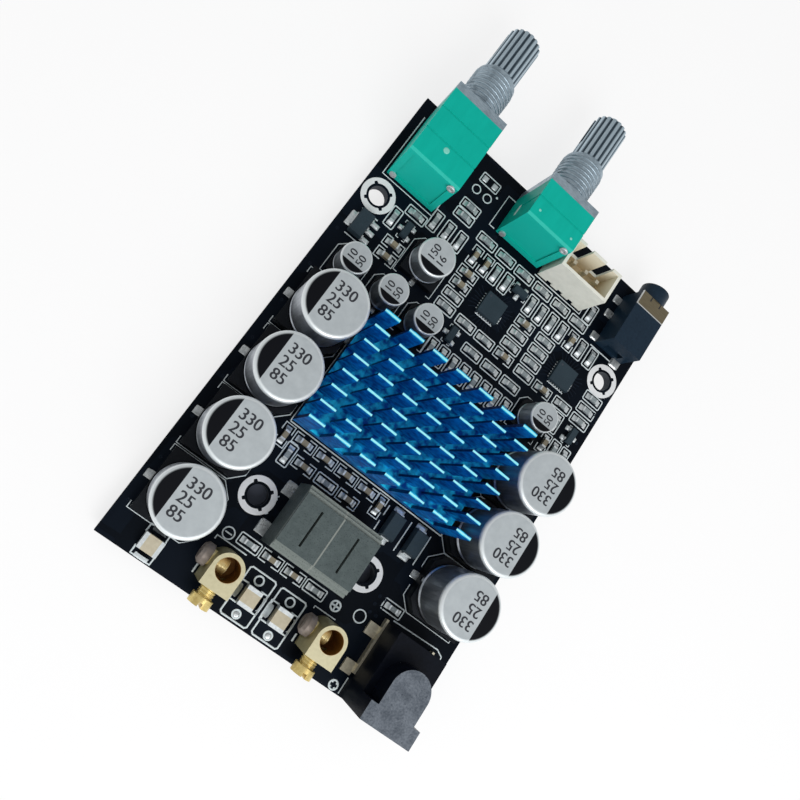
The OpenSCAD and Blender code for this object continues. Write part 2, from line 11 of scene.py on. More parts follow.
import bmesh
import bpy
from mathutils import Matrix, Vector


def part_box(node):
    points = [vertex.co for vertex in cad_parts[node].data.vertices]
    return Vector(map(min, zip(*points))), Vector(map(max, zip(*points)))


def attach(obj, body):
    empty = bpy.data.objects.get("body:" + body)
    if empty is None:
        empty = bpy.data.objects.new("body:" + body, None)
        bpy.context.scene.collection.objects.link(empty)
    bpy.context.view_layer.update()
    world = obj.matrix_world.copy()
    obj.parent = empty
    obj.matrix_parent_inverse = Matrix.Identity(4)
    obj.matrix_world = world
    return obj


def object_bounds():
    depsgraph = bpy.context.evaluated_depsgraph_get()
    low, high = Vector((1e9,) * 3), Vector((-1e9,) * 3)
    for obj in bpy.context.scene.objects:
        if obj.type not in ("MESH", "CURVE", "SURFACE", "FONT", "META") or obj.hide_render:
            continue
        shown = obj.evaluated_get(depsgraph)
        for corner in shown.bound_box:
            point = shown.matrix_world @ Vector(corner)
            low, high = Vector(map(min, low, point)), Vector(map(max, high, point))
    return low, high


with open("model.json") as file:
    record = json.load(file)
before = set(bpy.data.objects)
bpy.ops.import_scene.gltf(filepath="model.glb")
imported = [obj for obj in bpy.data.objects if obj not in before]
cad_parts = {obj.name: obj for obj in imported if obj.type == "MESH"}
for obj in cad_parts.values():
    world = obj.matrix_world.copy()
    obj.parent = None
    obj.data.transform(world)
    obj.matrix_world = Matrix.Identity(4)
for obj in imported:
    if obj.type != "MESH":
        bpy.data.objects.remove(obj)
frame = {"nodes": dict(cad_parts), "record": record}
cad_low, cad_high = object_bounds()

scene = bpy.context.scene
solids = frame["nodes"]
print("solids loaded:", len(solids))

# %% [markdown]
# The board is the ground plan of everything else, so places are given in millimetres from its
# lower left corner, with height zero on its upper face. One function turns such a place into
# metres, and nothing below has to know where the model's own origin is.

# %% A ruler on the board
MM = 0.001
board_low, board_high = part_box("circuit_board")


def on_board(x, y, z=0.0):
    """A place in millimetres from the board's lower left corner, on its upper face."""
    return Vector((board_low.x + x * MM, board_low.y + y * MM, board_high.z + z * MM))


def mm(*sizes):
    """Sizes in millimetres as a tuple in metres."""
    return tuple(size * MM for size in sizes)


def box_mm(name):
    """Lowest and highest corner of a solid, in millimetres."""
    low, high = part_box(name)
    return low / MM, high / MM


print("board, mm:", [round(v / MM, 2) for v in board_high - board_low])

# %% [markdown]
# The photograph was taken from close above the board's left edge, so the far parts lean away
# strongly. The camera stands at the place and turn that were solved from known points of the
# board. A small shift moves the picture without tilting the camera.

# %% Camera
camera_data = bpy.data.cameras.new("camera")
camera_data.sensor_width = 36
camera_data.lens = 31.93
camera_data.shift_x = 0.0741
camera_data.shift_y = 0.0201
camera_data.clip_start = 0.005
camera = bpy.data.objects.new("camera", camera_data)
camera.location = on_board(-3.33, 11.44, 103.69)
camera.rotation_euler = [math.radians(a) for a in (2.61, -16.81, 36.46)]
scene.collection.objects.link(camera)
scene.camera = camera
scene.view_settings.view_transform = "Standard"
print("camera, mm:", [round(v / MM, 1) for v in camera.location])

# %% [markdown]
# A node tree is easier to read as arithmetic than as a list of boxes and wires. The class below
# wraps one socket, so that a sum such as `1 - mask * 0.5` adds the Math nodes by itself. A second
# class holds a tree and has one method that adds any other node.

# %% Sockets as numbers
class Value:
    """One output socket that can be used in a sum."""

    def __init__(self, socket):
        self.socket = socket

    def __add__(self, other):
        return calc("ADD", self, other)

    def __sub__(self, other):
        return calc("SUBTRACT", self, other)

    def __rsub__(self, other):
        return calc("SUBTRACT", other, self)

    def __mul__(self, other):
        return calc("MULTIPLY", self, other)

    def __abs__(self):
        return calc("ABSOLUTE", self)

    __radd__ = __add__
    __rmul__ = __mul__


def put(socket, item):
    """Links a value to an input socket, or sets a plain number, colour or thing on it."""
    if isinstance(item, Value):
        socket.id_data.links.new(item.socket, socket)
    else:
        socket.default_value = item


def calc(operation, *items):
    """One Math node on values and plain numbers."""
    tree = next(item.socket.id_data for item in items if isinstance(item, Value))
    node = tree.nodes.new("ShaderNodeMath")
    node.operation = operation
    for socket, item in zip(node.inputs, items):
        put(socket, item)
    return Value(node.outputs[0])


class NodeTree:
    """A node tree that is written line by line."""

    def add(self, kind, settings=None, inputs=None, output=0):
        """Adds a node: its settings first, then its sockets' values or links."""
        node = self.tree.nodes.new(kind)
        for name, setting in (settings or {}).items():
            setattr(node, name, setting)
        for name, item in (inputs or {}).items():
            put(node.inputs[name], item)
        return Value(node.outputs[output])


# %% [markdown]
# A finish is one material. It reads Object coordinates in millimetres, so that a grain of 0.1
# really is a tenth of a millimetre on the part. The helpers give noise, a soft step between two
# limits, the distance from a line, a mix of two colours and a bump, which is all that these
# surfaces need.

# %% The finish class
def tint(red, green, blue):
    """A colour as a screen shows it, 0 to 255, in the linear values that a shader takes."""
    parts = [c / 255 for c in (red, green, blue)]
    linear = [c / 12.92 if c < 0.04045 else ((c + 0.055) / 1.055) ** 2.4 for c in parts]
    return (*linear, 1.0)


class Finish(NodeTree):
    """A material with its Principled shader, its place in millimetres and its face direction."""

    def __init__(self, name, **fixed):
        self.material = bpy.data.materials.new(name)
        self.material.use_nodes = True
        self.tree = self.material.node_tree
        self.shader = self.tree.nodes["Principled BSDF"]
        for title, item in fixed.items():
            put(self.shader.inputs[title.replace("_", " ")], item)
        here = self.add("ShaderNodeTexCoord", output="Object")
        self.place = self.vector("SCALE", here, Scale=1 / MM)
        self.face = self.add("ShaderNodeTexCoord", output="Normal")

    def vector(self, operation, first, second=None, **sockets):
        """One Vector Math node."""
        node = self.tree.nodes.new("ShaderNodeVectorMath")
        node.operation = operation
        put(node.inputs[0], first)
        if second is not None:
            put(node.inputs[1], second)
        for title, item in sockets.items():
            put(node.inputs[title], item)
        return Value(node.outputs[1 if operation in ("LENGTH", "DOT_PRODUCT") else 0])

    def along(self, vector, axis):
        """One part of a vector, 0 to 2 for x, y and z."""
        return self.add("ShaderNodeSeparateXYZ", {}, {"Vector": vector}, "XYZ"[axis])

    def stretched(self, x, y, z):
        """The place with each axis scaled, so that a pattern runs long along one of them."""
        return self.vector("MULTIPLY", self.place, (x, y, z))

    def from_line(self, point, axis):
        """Distance from the line through a point along x, y or z, given as 0 to 2."""
        away = self.vector("SUBTRACT", self.place, tuple(point))
        square = tuple(0.0 if i == axis else 1.0 for i in range(3))
        return self.vector("LENGTH", self.vector("MULTIPLY", away, square))

    def noise(self, scale, detail=3.0, place=None):
        """Noise with so many lumps to a millimetre."""
        sockets = {"Vector": place or self.place, "Scale": scale, "Detail": detail}
        return self.add("ShaderNodeTexNoise", {}, sockets)

    def step(self, value, low, high):
        """Goes softly from 0 at low to 1 at high."""
        sockets = {"Value": value, "From Min": low, "From Max": high}
        return self.add("ShaderNodeMapRange", {"interpolation_type": "SMOOTHSTEP"}, sockets)

    def between(self, value, low, high, soft=0.05):
        """1 between two limits and 0 outside them."""
        return self.step(value, low, low + soft) * self.step(value, high, high - soft)

    def mix(self, first, second, share):
        """A colour between two others."""
        node = self.tree.nodes.new("ShaderNodeMix")
        node.data_type = "RGBA"
        for place, item in zip((0, 6, 7), (share, first, second)):
            put(node.inputs[place], item)
        return Value(node.outputs[2])

    def wear(self, **sockets):
        """Feeds the shader's sockets that change over the surface."""
        for title, item in sockets.items():
            put(self.shader.inputs[title.replace("_", " ")], item)

    def bump(self, height, depth):
        """Raises the surface by height times depth, in millimetres."""
        normal = self.add("ShaderNodeBump", {}, {"Height": height, "Distance": depth * MM})
        put(self.shader.inputs["Normal"], normal)


def paint(finish, *names):
    """Gives a finish to the named solids."""
    for name in names:
        slots = solids[name].data.materials
        for index in range(len(slots)):
            slots[index] = finish.material


# %% [markdown]
# The studio is plain: a pale floor that keeps a soft shadow, an even sky that is a little brighter
# on the side of the lamp, and one wide lamp that gives the cans and fins a direction. Together they
# light a level surface with a strength of about one, so that a colour renders as it is written. The
# floor adds some light of its own where the camera or a mirror-like surface looks at it, so that
# the background is white without more light on the board. Under the board's lower part it adds
# none, and there the floor's colour is painted dark grey as a painted shadow, or it would shine
# through the mounting holes there.

# %% Floor, sky and lamp
FLOOR_REACH = 1.5
FLOOR_GAP = 0.02 * MM
SHADE_L = 60
SHADE_SOFT = 2.0
GLOW_SHARE = 0.75
floor_mesh = bpy.data.meshes.new("floor")
floor_z = cad_low.z - FLOOR_GAP
signs = ((-1, -1), (1, -1), (1, 1), (-1, 1))
corners = [(x * FLOOR_REACH, y * FLOOR_REACH, floor_z) for x, y in signs]
floor_mesh.from_pydata(corners, [], [(0, 1, 2, 3)])
floor = bpy.data.objects.new("floor", floor_mesh)
scene.collection.objects.link(floor)

floor_finish = Finish("pale_floor", Roughness=0.9)
seen = floor_finish.add("ShaderNodeLightPath", output="Is Camera Ray")
for ray in ("Is Glossy Ray", "Is Transmission Ray"):
    seen = calc("MAXIMUM", seen, floor_finish.add("ShaderNodeLightPath", output=ray))
glow = floor_finish.add("ShaderNodeEmission", {}, {"Color": (1, 1, 1, 1), "Strength": 1.0})
surface = Value(floor_finish.shader.outputs[0])
floor_x = floor_finish.along(floor_finish.place, 0)
floor_y = floor_finish.along(floor_finish.place, 1)
low_x, low_y = (board_low / MM).xy
high_x, high_y = (board_high / MM).xy
# Painted shadow: under the board's lower part the floor is painted dark grey.
shade = floor_finish.between(floor_x, low_x, high_x, SHADE_SOFT)
shade = shade * floor_finish.between(floor_y, low_y, low_y + SHADE_L, SHADE_SOFT)
floor_grain = floor_finish.noise(0.05)
floor_pale = floor_finish.mix(tint(248, 248, 249), tint(251, 251, 252), floor_grain)
floor_finish.wear(Base_Color=floor_finish.mix(floor_pale, tint(96, 102, 116), shade))
both = floor_finish.tree.nodes.new("ShaderNodeMixShader")
for socket, item in zip(both.inputs, (seen * GLOW_SHARE * (1 - shade), surface, glow)):
    put(socket, item)
put(floor_finish.tree.nodes["Material Output"].inputs["Surface"], Value(both.outputs[0]))
floor_mesh.materials.append(floor_finish.material)


class Sky(NodeTree):
    """The world's node tree."""

    def __init__(self):
        self.world = bpy.data.worlds.new("sky")
        self.world.use_nodes = True
        self.tree = self.world.node_tree


sky = Sky()
direction = sky.add("ShaderNodeTexCoord", output="Generated")
parts = [sky.add("ShaderNodeSeparateXYZ", {}, {"Vector": direction}, axis) for axis in "XYZ"]
SKY_LEVEL, SKY_EAST, SKY_SOUTH, SKY_OVERHEAD = 0.74, 0.12, 0.16, -0.22
brightness = SKY_LEVEL + SKY_EAST * parts[0] - SKY_SOUTH * parts[1] + SKY_OVERHEAD * parts[2] * parts[2]
put(sky.tree.nodes["Background"].inputs["Color"], (1.0, 1.0, 1.0, 1.0))
put(sky.tree.nodes["Background"].inputs["Strength"], brightness)
scene.world = sky.world

LAMP_SIZE = 0.22
LAMP_WATTS = 0.62
lamp_data = bpy.data.lights.new("wide_lamp", "AREA")
lamp_data.size = LAMP_SIZE
lamp_data.energy = LAMP_WATTS
lamp = bpy.data.objects.new("wide_lamp", lamp_data)
lamp.location = on_board(150, -160, 240)
aim = on_board(28, 42) - lamp.location
lamp.rotation_euler = aim.to_track_quat("-Z", "Y").to_euler()
scene.collection.objects.link(lamp)
print("floor at, mm:", round(floor_z / MM, 2))

# %% [markdown]
# The board is glass-fibre sheet under a black lacquer. Copper below the lacquer lifts it slightly
# in large fields and gives the black a faint pattern. The sawn edge shows the dark sheet with its
# fibres, and the hole walls are plated.

# %% Black board
mask = Finish("black_solder_mask", Specular_IOR_Level=0.06)
east, north = mask.along(mask.place, 0), mask.along(mask.place, 1)
flat = mask.step(abs(mask.along(mask.face, 2)), 0.4, 0.6)
cells = {"Vector": mask.stretched(0.16, 0.16, 0), "Scale": 1.0, "Randomness": 0.9}
fields = mask.add("ShaderNodeTexVoronoi", {"distance": "CHEBYCHEV"}, cells, "Color")
raised = mask.step(mask.along(fields, 0), 0.45, 0.55)
lacquer = mask.mix(tint(3, 8, 16), tint(10, 19, 30), raised * 0.6 + mask.noise(3.0) * 0.35)
fibres = mask.noise(1.0, 4.0, mask.stretched(0.6, 0.6, 14))
sheet = mask.mix(tint(30, 34, 38), tint(62, 66, 66), fibres)
outer = calc("MINIMUM", calc("MINIMUM", east - low_x, high_x - east),
             calc("MINIMUM", north - low_y, high_y - north))
inside = mask.step(outer, 0.05, 0.3)
edge = mask.mix(sheet, tint(84, 88, 94), inside)
mask.wear(Base_Color=mask.mix(edge, lacquer, flat))
mask.wear(Metallic=inside * (1 - flat) * 0.7)
mask.wear(Roughness=0.66 - flat * 0.28 + mask.noise(1.4) * 0.12)
mask.bump(raised + mask.noise(9.0) * 0.12, 0.03)
paint(mask, "circuit_board")
print("board finish:", len(mask.tree.nodes), "nodes")

# %% [markdown]
# The heatsink is blue-dyed anodised aluminium. It was extruded, so fine draw lines run along the
# fins, and the dye is blotchy at random. The fin tops were cut last and carry a pale cyan painted
# highlight along part of their width. The sawn ends of the blades are painted dark navy as painted
# shade, and the open base and the walls low down between the blades are painted paler cyan as
# painted light and reflection.

# %% Blue heatsink
sink_low, sink_high = box_mm("heatsink")
FIN_ROWS = 8
END_FIN_T = 0.55
row_pitch = (sink_high.y - sink_low.y - END_FIN_T) / (FIN_ROWS - 1)
sink = Finish("blue_anodised", Specular_IOR_Level=0.12)
sink_up = sink.along(sink.face, 2)
sink_z = sink.along(sink.place, 2)
sink_y = sink.along(sink.place, 1)
in_row = sink_y - (sink_low.y + END_FIN_T / 2)
within = sink.between(sink_y, sink_low.y + 0.1, sink_high.y - 0.1)
from_row = calc("PINGPONG", in_row, row_pitch / 2)
tops = sink.step(sink_z, sink_high.z - 0.08, sink_high.z - 0.02) * sink.step(sink_up, 0.5, 0.9)
# Painted highlight: a pale cyan strip on part of each fin top's width.
strip = tops * sink.step(from_row, 0.18, 0.11)
level = sink.step(sink_up, 0.3, 0.8)
draw = sink.noise(1.0, 4.0, sink.stretched(0.25, 9, 9))
blot = sink.step(sink.noise(0.9, 2.5), 0.32, 0.68)
# Painted reflection: paler cyan on the walls low down between the blades.
reflection_low_down = sink.step(sink_z, sink_high.z - 2.0, sink_high.z - 8.0)
# Painted shade: the sawn ends of the blades are painted dark navy.
sawn_end_shade = sink.step(abs(sink.along(sink.face, 0)), 0.6, 0.9)
wall = sink.mix(tint(0, 56, 150), tint(10, 142, 232), draw * 0.35 + blot * 0.65)
wall = sink.mix(wall, tint(26, 196, 246), reflection_low_down * blot * (0.15 + within * 0.75))
wall = sink.mix(wall, tint(0, 28, 84), sawn_end_shade * 0.9)
# Painted light: the level base is painted paler cyan than the walls, in blotches.
base = sink.mix(tint(0, 74, 158), tint(36, 204, 246), blot)
cut = sink.mix(tint(132, 232, 244), tint(178, 250, 254), sink.noise(4.0))
sink.wear(Base_Color=sink.mix(sink.mix(wall, base, level), cut, strip))
sink.wear(Metallic=0.5 - level * 0.15 - strip * 0.3)
sink.wear(Roughness=0.34 + draw * 0.2)
sink.bump(draw * 0.4 + blot * 0.6, 0.05)
paint(sink, "heatsink")
print("fin rows:", FIN_ROWS, "pitch, mm:", round(row_pitch, 2))

# %% [markdown]
# Each capacitor can is drawn aluminium with a lacquered pale top and a rolled rim of bare metal,
# which is also painted lighter as a painted highlight. A black field on one side of the top marks
# the negative lead. The material draws the field and the rim from the can's own axis, so that no
# second shape has to be laid on the lid.

# %% Capacitor cans
FIELD_SHARE = 0.45


def can_finish(name, toward):
    """The finish of one can; toward is the direction of its black field."""
    low, high = box_mm(name)
    centre = (low + high) / 2
    radius = (high.y - low.y) / 2
    can = Finish("metal_of_" + name, Specular_IOR_Level=0.12)
    out = can.vector("SUBTRACT", can.place, (centre.x, centre.y, high.z))
    across = can.vector("DOT_PRODUCT", out, (*toward, 0.0))
    from_axis = can.from_line(centre, 2)
    below = can.along(out, 2) * -1
    lid = can.step(below, radius * 0.17, radius * 0.12)
    # Partly painted highlight: the rolled rim is shinier metal and is also painted lighter all round.
    rim = can.step(from_axis, radius * 0.87, radius * 0.94) * lid
    ragged = can.noise(6.0) * 0.04
    field_at = radius * FIELD_SHARE
    field = can.step(across + ragged, field_at, field_at + 0.06) * lid * (1 - rim)
    scuff = can.noise(0.8, 5.0)
    top = can.mix(tint(164, 171, 175), tint(188, 195, 198), scuff)
    top = can.mix(top, tint(224, 230, 232), rim)
    streaks = can.noise(1.0, 3.0, can.stretched(3, 3, 0.15))
    wall = can.mix(tint(150, 158, 168), tint(216, 222, 228), streaks)
    shell = can.mix(wall, top, lid)
    can.wear(Base_Color=can.mix(shell, tint(4, 6, 13), field))
    can.wear(Metallic=(0.95 - lid * 0.75 + rim * 0.4) * (1 - field))
    can.wear(Roughness=0.3 + lid * 0.25 - rim * 0.2 + scuff * 0.1 - field * 0.05)
    can.bump(streaks * (1 - lid) + scuff * 0.5, 0.012)
    return can


LEFT, RIGHT, DOWN = (-1.0, 0.0), (1.0, 0.0), (0.0, -1.0)
can_fields = {"bulk_capacitor_can_%d" % n: LEFT if n < 5 else RIGHT for n in range(1, 8)}
can_fields.update({"small_capacitor_can_%d" % n: DOWN for n in range(1, 5)})
can_fields["input_capacitor_can"] = DOWN
for name, toward in can_fields.items():
    paint(can_finish(name, toward), name)
print("cans:", len(can_fields))

# %% [markdown]
# The moulded parts differ in grain: capacitor bases are smooth and glossy, chips are matt epoxy
# with fine filler specks, and ceramics are fired bodies with a dull skin. One helper makes them all
# from a grain size and a spread of two colours.

# %% Moulded and fired parts
def moulding(name, dark, light, grain, roughness, depth, gloss=0.2):
    """A plastic or fired finish between two colours; depth is that of its grain."""
    plastic = Finish(name, Specular_IOR_Level=gloss)
    speck = plastic.noise(grain, 4.0)
    cloud = plastic.noise(0.5, 2.0)
    plastic.wear(Base_Color=plastic.mix(dark, light, speck * 0.7 + cloud * 0.3))
    plastic.wear(Roughness=roughness + speck * 0.15)
    plastic.bump(speck, depth)
    return plastic


base_black = moulding("base_plastic", tint(5, 8, 13), tint(18, 23, 30), 2.0, 0.32, 0.01, 0.15)
paint(base_black, *["bulk_capacitor_base_%d" % n for n in range(1, 8)])
paint(base_black, "small_capacitor_bases", "input_capacitor_base")

chip_black = moulding("chip_epoxy", tint(28, 40, 48), tint(57, 72, 81), 7.0, 0.5, 0.015, 0.15)
paint(chip_black, "amplifier_chip", "preamp_chip", "filter_chip", "regulator", "diodes_and_transistors")

pad_grey = moulding("thermal_pad_grey", tint(120, 128, 134), tint(160, 166, 170), 4.0, 0.8, 0.02)
paint(pad_grey, "thermal_pad")

ceramic = Finish("ceramic_tan", Specular_IOR_Level=0.3)
fired = ceramic.noise(2.0, 4.0)
at_the_terminals = ceramic.step(ceramic.along(ceramic.place, 1), low_y + 9.0, low_y + 8.0)
small_tan = ceramic.mix(tint(112, 106, 92), tint(156, 146, 124), fired)
large_tan = ceramic.mix(tint(176, 166, 142), tint(204, 196, 174), fired)
ceramic.wear(Base_Color=ceramic.mix(small_tan, large_tan, at_the_terminals))
ceramic.wear(Roughness=0.45 + fired * 0.15)
ceramic.bump(fired, 0.01)
paint(ceramic, "chip_ceramics")

resistor = moulding("resistor_glaze", tint(34, 43, 50), tint(186, 197, 200), 4.5, 0.4, 0.01, 0.2)
paint(resistor, "chip_resistors")
print("mouldings done")

# %% [markdown]
# The inductor's two half cores are pressed from ferrite powder, which leaves dark pores in a grey
# skin. The steps just below the top are paler than the top, with fine streaks along them. A thin
# pale line of glue marks the seam where the halves meet.

# %% Ferrite core
core_high = box_mm("inductor_core_left")[1]
ferrite = Finish("pressed_ferrite", Specular_IOR_Level=0.2)
core_z = ferrite.along(ferrite.place, 2)
pores = ferrite.step(ferrite.noise(5.0, 3.0), 0.56, 0.7)
skin = ferrite.mix(tint(62, 72, 73), tint(90, 101, 101), ferrite.noise(1.2, 4.0))
step_streaks = ferrite.noise(1.0, 4.0, ferrite.stretched(0.4, 6, 6))
pale_steps = ferrite.mix(tint(108, 117, 114), tint(138, 146, 142), step_streaks)
steps = ferrite.between(core_z, core_high.z - 1.0, core_high.z - 0.3)
seam = ferrite.step(abs(ferrite.along(ferrite.place, 0) - core_high.x), 0.14, 0.08)
dressed = ferrite.mix(ferrite.mix(skin, pale_steps, steps), tint(46, 54, 55), pores * 0.55)
ferrite.wear(Base_Color=ferrite.mix(dressed, tint(150, 154, 148), seam * 0.7))
ferrite.wear(Roughness=0.55 + pores * 0.3)
ferrite.bump(ferrite.noise(4.0) - pores * 0.8, 0.03)
paint(ferrite, "inductor_core_left", "inductor_core_right")
print("core top, mm:", round(core_high.z, 2))

# %% [markdown]
# The control bodies are green moulded plastic. The mould's flow leaves soft cloudy streaks and the
# surface is half glossy. The rear faces are painted a little lighter as painted light, and the
# bevelled rear edge carries a pale painted highlight.

# %% Green control bodies
green = Finish("pot_green_plastic", Specular_IOR_Level=0.1)
flow = green.noise(1.0, 4.0, green.stretched(0.9, 0.3, 0.9))
speck = green.noise(7.0, 2.0)
tone = green.mix(tint(0, 163, 146), tint(10, 184, 166), flow * 0.8 + speck * 0.2)
to_rear = green.along(green.face, 1) * -1
# Painted light: the faces turned to the rear are painted lighter.
tone = green.mix(tone, tint(28, 186, 170), green.step(to_rear, 0.7, 0.9) * 0.7)
# Painted highlight: the bevelled rear edge is painted paler.
bevel_highlight = green.step(to_rear, 0.4, 0.6) * green.step(green.along(green.face, 2), 0.4, 0.6)
green.wear(Base_Color=green.mix(tone, tint(64, 196, 180), bevel_highlight * 0.45))
green.wear(Roughness=0.36 + flow * 0.16)
green.bump(flow * 0.6 + speck * 0.4, 0.012)
paint(green, "volume_body", "tone_body")

# %% [markdown]
# The power jack is black plastic whose outer top was spark-eroded in the mould to a coarse grain
# with a few dark specks; that top is painted grey as a painted sheen, while the sides and the low
# rear stay smooth black. The audio jack is a smoother blue-black.

# %% Jack housings
jack_high = box_mm("power_jack_housing")[1]
jack = Finish("power_jack_plastic", Specular_IOR_Level=0.1)
jack_up = jack.step(jack.along(jack.face, 2), 0.5, 0.9)
crown = jack_up * jack.step(jack.along(jack.place, 2), jack_high.z - 0.4, jack_high.z - 0.2)
grain = jack.noise(3.2, 5.0)
mottle = jack.noise(0.55, 3.0)
blotch = jack.step(grain * 0.5 + mottle * 0.5, 0.26, 0.74)
specks = jack.step(jack.noise(2.6, 2.0), 0.64, 0.72)
# Painted sheen: the grained top is painted grey, with dark specks.
grain_and_sheen = jack.mix(tint(72, 79, 88), tint(116, 123, 132), blotch)
grain_and_sheen = jack.mix(grain_and_sheen, tint(48, 54, 64), specks * 0.6)
smooth_black = jack.mix(tint(3, 6, 14), tint(14, 19, 30), jack.noise(1.4, 3.0))
jack.wear(Base_Color=jack.mix(smooth_black, grain_and_sheen, crown))
jack.wear(Roughness=0.34 + crown * 0.3)
jack.bump(grain * (0.15 + crown * 0.85), 0.07)
paint(jack, "power_jack_housing")

audio_black = moulding("audio_jack_plastic", tint(9, 25, 39), tint(30, 50, 67), 2.2, 0.34, 0.012, 0.15)
paint(audio_black, "audio_jack_housing")
print("jacks done")

# %% [markdown]
# The header's shroud is cream nylon. The inside of its walls is painted warmer and darker than the
# outside, most towards the bottom, as painted shade. The inside is told from the outside by its place.

# %% Header shroud
head_low, head_high = box_mm("header_housing")
nylon = Finish("header_nylon", Specular_IOR_Level=0.35)
WALL = 0.5
inner = nylon.between(nylon.along(nylon.place, 0), head_low.x + WALL, head_high.x - WALL)
inner = inner * nylon.between(nylon.along(nylon.place, 1), head_low.y + WALL, head_high.y - WALL)
cream = nylon.mix(tint(214, 215, 204), tint(238, 238, 227), nylon.noise(0.9, 3.0))
# Painted shade: the inside gets darker and warmer towards the bottom.
depth_in = nylon.step(nylon.along(nylon.place, 2), head_low.z, head_high.z)
inner_shade = nylon.mix(tint(206, 186, 150), tint(234, 228, 208), depth_in)
nylon.wear(Base_Color=nylon.mix(cream, inner_shade, inner))
nylon.wear(Roughness=0.46 + nylon.noise(3.0) * 0.12)
nylon.bump(nylon.noise(3.0), 0.01)
paint(nylon, "header_housing")
print("header walls, mm:", [round(v, 2) for v in head_high - head_low])

# %% [markdown]
# Bare metals share one recipe: a metallic shader, drawn or cast streaks, and a few duller patches
# where the metal has tarnished. The streak direction and the colours tell them apart.

# %% Bare metals
def metal(name, dark, light, streak, roughness, tarnish=None, shine=0.95):
    """A bare metal between two colours; streak scales its lines along x, y and z."""
    bare = Finish(name)
    line = bare.noise(1.0, 4.0, bare.stretched(*streak))
    patch = bare.step(bare.noise(0.7, 4.0), 0.45, 0.75)
    colour = bare.mix(dark, light, line)
    bare.wear(Base_Color=bare.mix(colour, tarnish or dark, patch * 0.6))
    bare.wear(Metallic=shine - patch * 0.2)
    bare.wear(Roughness=roughness + patch * 0.2 + line * 0.1)
    bare.bump(line, 0.01)
    return bare


tinned = metal("tinned_metal", tint(176, 184, 188), tint(232, 237, 238), (3, 3, 3), 0.32,
               shine=0.62)
paint(tinned, "chip_leads", "chip_ends", "power_jack_pin", "volume_terminals", "tone_terminals")

dull_tin = metal("dull_tin", tint(112, 120, 124), tint(238, 242, 243), (1.5, 1.5, 1.5), 0.22,
                 tint(96, 102, 104), 0.7)
paint(dull_tin, "capacitor_leads", "inductor_leads", "audio_jack_contacts")

straw = metal("straw_tinned", tint(186, 180, 158), tint(226, 220, 200), (3, 3, 3), 0.3,
              tint(140, 132, 110), 0.7)
paint(straw, "power_jack_contacts", "header_pins")

zinc = metal("zinc_casting", tint(112, 131, 144), tint(192, 208, 218), (1.2, 6, 1.2), 0.3,
             tint(96, 110, 120), 0.75)
paint(zinc, "volume_bush", "tone_bush")

gold = metal("front_screw_brass", tint(206, 178, 98), tint(248, 230, 164), (4, 4, 4), 0.26,
             tint(160, 124, 58), 0.8)
paint(gold, "negative_front_screw", "positive_front_screw")

tip_gold = metal("side_screw_brass", tint(228, 196, 108), tint(255, 242, 184), (4, 4, 4), 0.24,
                 tint(190, 150, 76), 0.3)
print("metals done")

# %% [markdown]
# The knurled shafts were rolled. Their teeth are painted bright on the crests as a painted highlight
# and dark between them as painted shade. The distance from the shaft's own axis tells a crest from
# a valley. The turned ends are bare.

# %% Knurled shafts
VALLEY_R, CREST_R = 2.8, 2.95


def shaft_finish(name):
    """The finish of one shaft, drawn from its own axis."""
    low, high = box_mm(name)
    rolled = Finish("rolled_" + name)
    out = rolled.from_line((low + high) / 2, 1)
    turned_end = rolled.step(abs(rolled.along(rolled.face, 1)), 0.3, 0.6)
    crest = calc("MAXIMUM", rolled.step(out, VALLEY_R, CREST_R), turned_end * 0.7)
    line = rolled.noise(1.0, 4.0, rolled.stretched(5, 0.4, 5))
    # Painted shade in the valleys and painted highlight on the crests.
    valley_shade = rolled.mix(tint(52, 66, 78), tint(90, 106, 118), line)
    crest_highlight = rolled.mix(tint(148, 169, 182), tint(204, 219, 228), line)
    rolled.wear(Base_Color=rolled.mix(valley_shade, crest_highlight, crest))
    rolled.wear(Metallic=0.75 + crest * 0.1)
    rolled.wear(Roughness=0.46 - crest * 0.16 + line * 0.1)
    rolled.bump(line, 0.012)
    return rolled


for name in ("volume_shaft", "tone_shaft"):
    paint(shaft_finish(name), name)

# %% [markdown]
# The screw terminals are plated a pale cream on the outside; their sides are painted darker and
# more tan than the top as painted shade. Inside the wire hole the walls are painted dark brown as
# painted shade. The side screws have a dull grey-brown head on a brass shank.

# %% Screw terminals
WIRE_HOLE_R = 1.75
SCREW_HEAD_T = 1.45


def terminal_finish(name):
    """The finish of one terminal, with painted shade inside its wire hole."""
    low, high = box_mm(name)
    plate = Finish("plated_" + name)
    hole_y = high.y - (high.x - low.x) / 2
    out = plate.from_line(((low.x + high.x) / 2, hole_y, 0), 2)
    above = plate.step(plate.along(plate.place, 2), board_high.z / MM, board_high.z / MM + 0.1)
    bore = plate.step(out, WIRE_HOLE_R + 0.06, WIRE_HOLE_R + 0.01) * above
    # Painted shade: the sides are darker and more tan than the top.
    top = plate.step(plate.along(plate.face, 2), 0.5, 0.9) * (1 - bore)
    line = plate.noise(1.0, 4.0, plate.stretched(2, 2, 6))
    cream = plate.mix(tint(184, 177, 142), tint(208, 201, 168), line)
    side = plate.mix(tint(158, 146, 102), tint(206, 196, 150), line)
    # Painted shade: the inside of the wire hole is dark brown.
    bore_shade = plate.mix(tint(96, 56, 14), tint(172, 122, 52), plate.noise(1.6))
    plate.wear(Base_Color=plate.mix(plate.mix(side, cream, top), bore_shade, bore))
    plate.wear(Metallic=0.7 - top * 0.35 - bore * 0.2)
    plate.wear(Roughness=0.3 + line * 0.15)
    plate.bump(line, 0.012)
    return plate


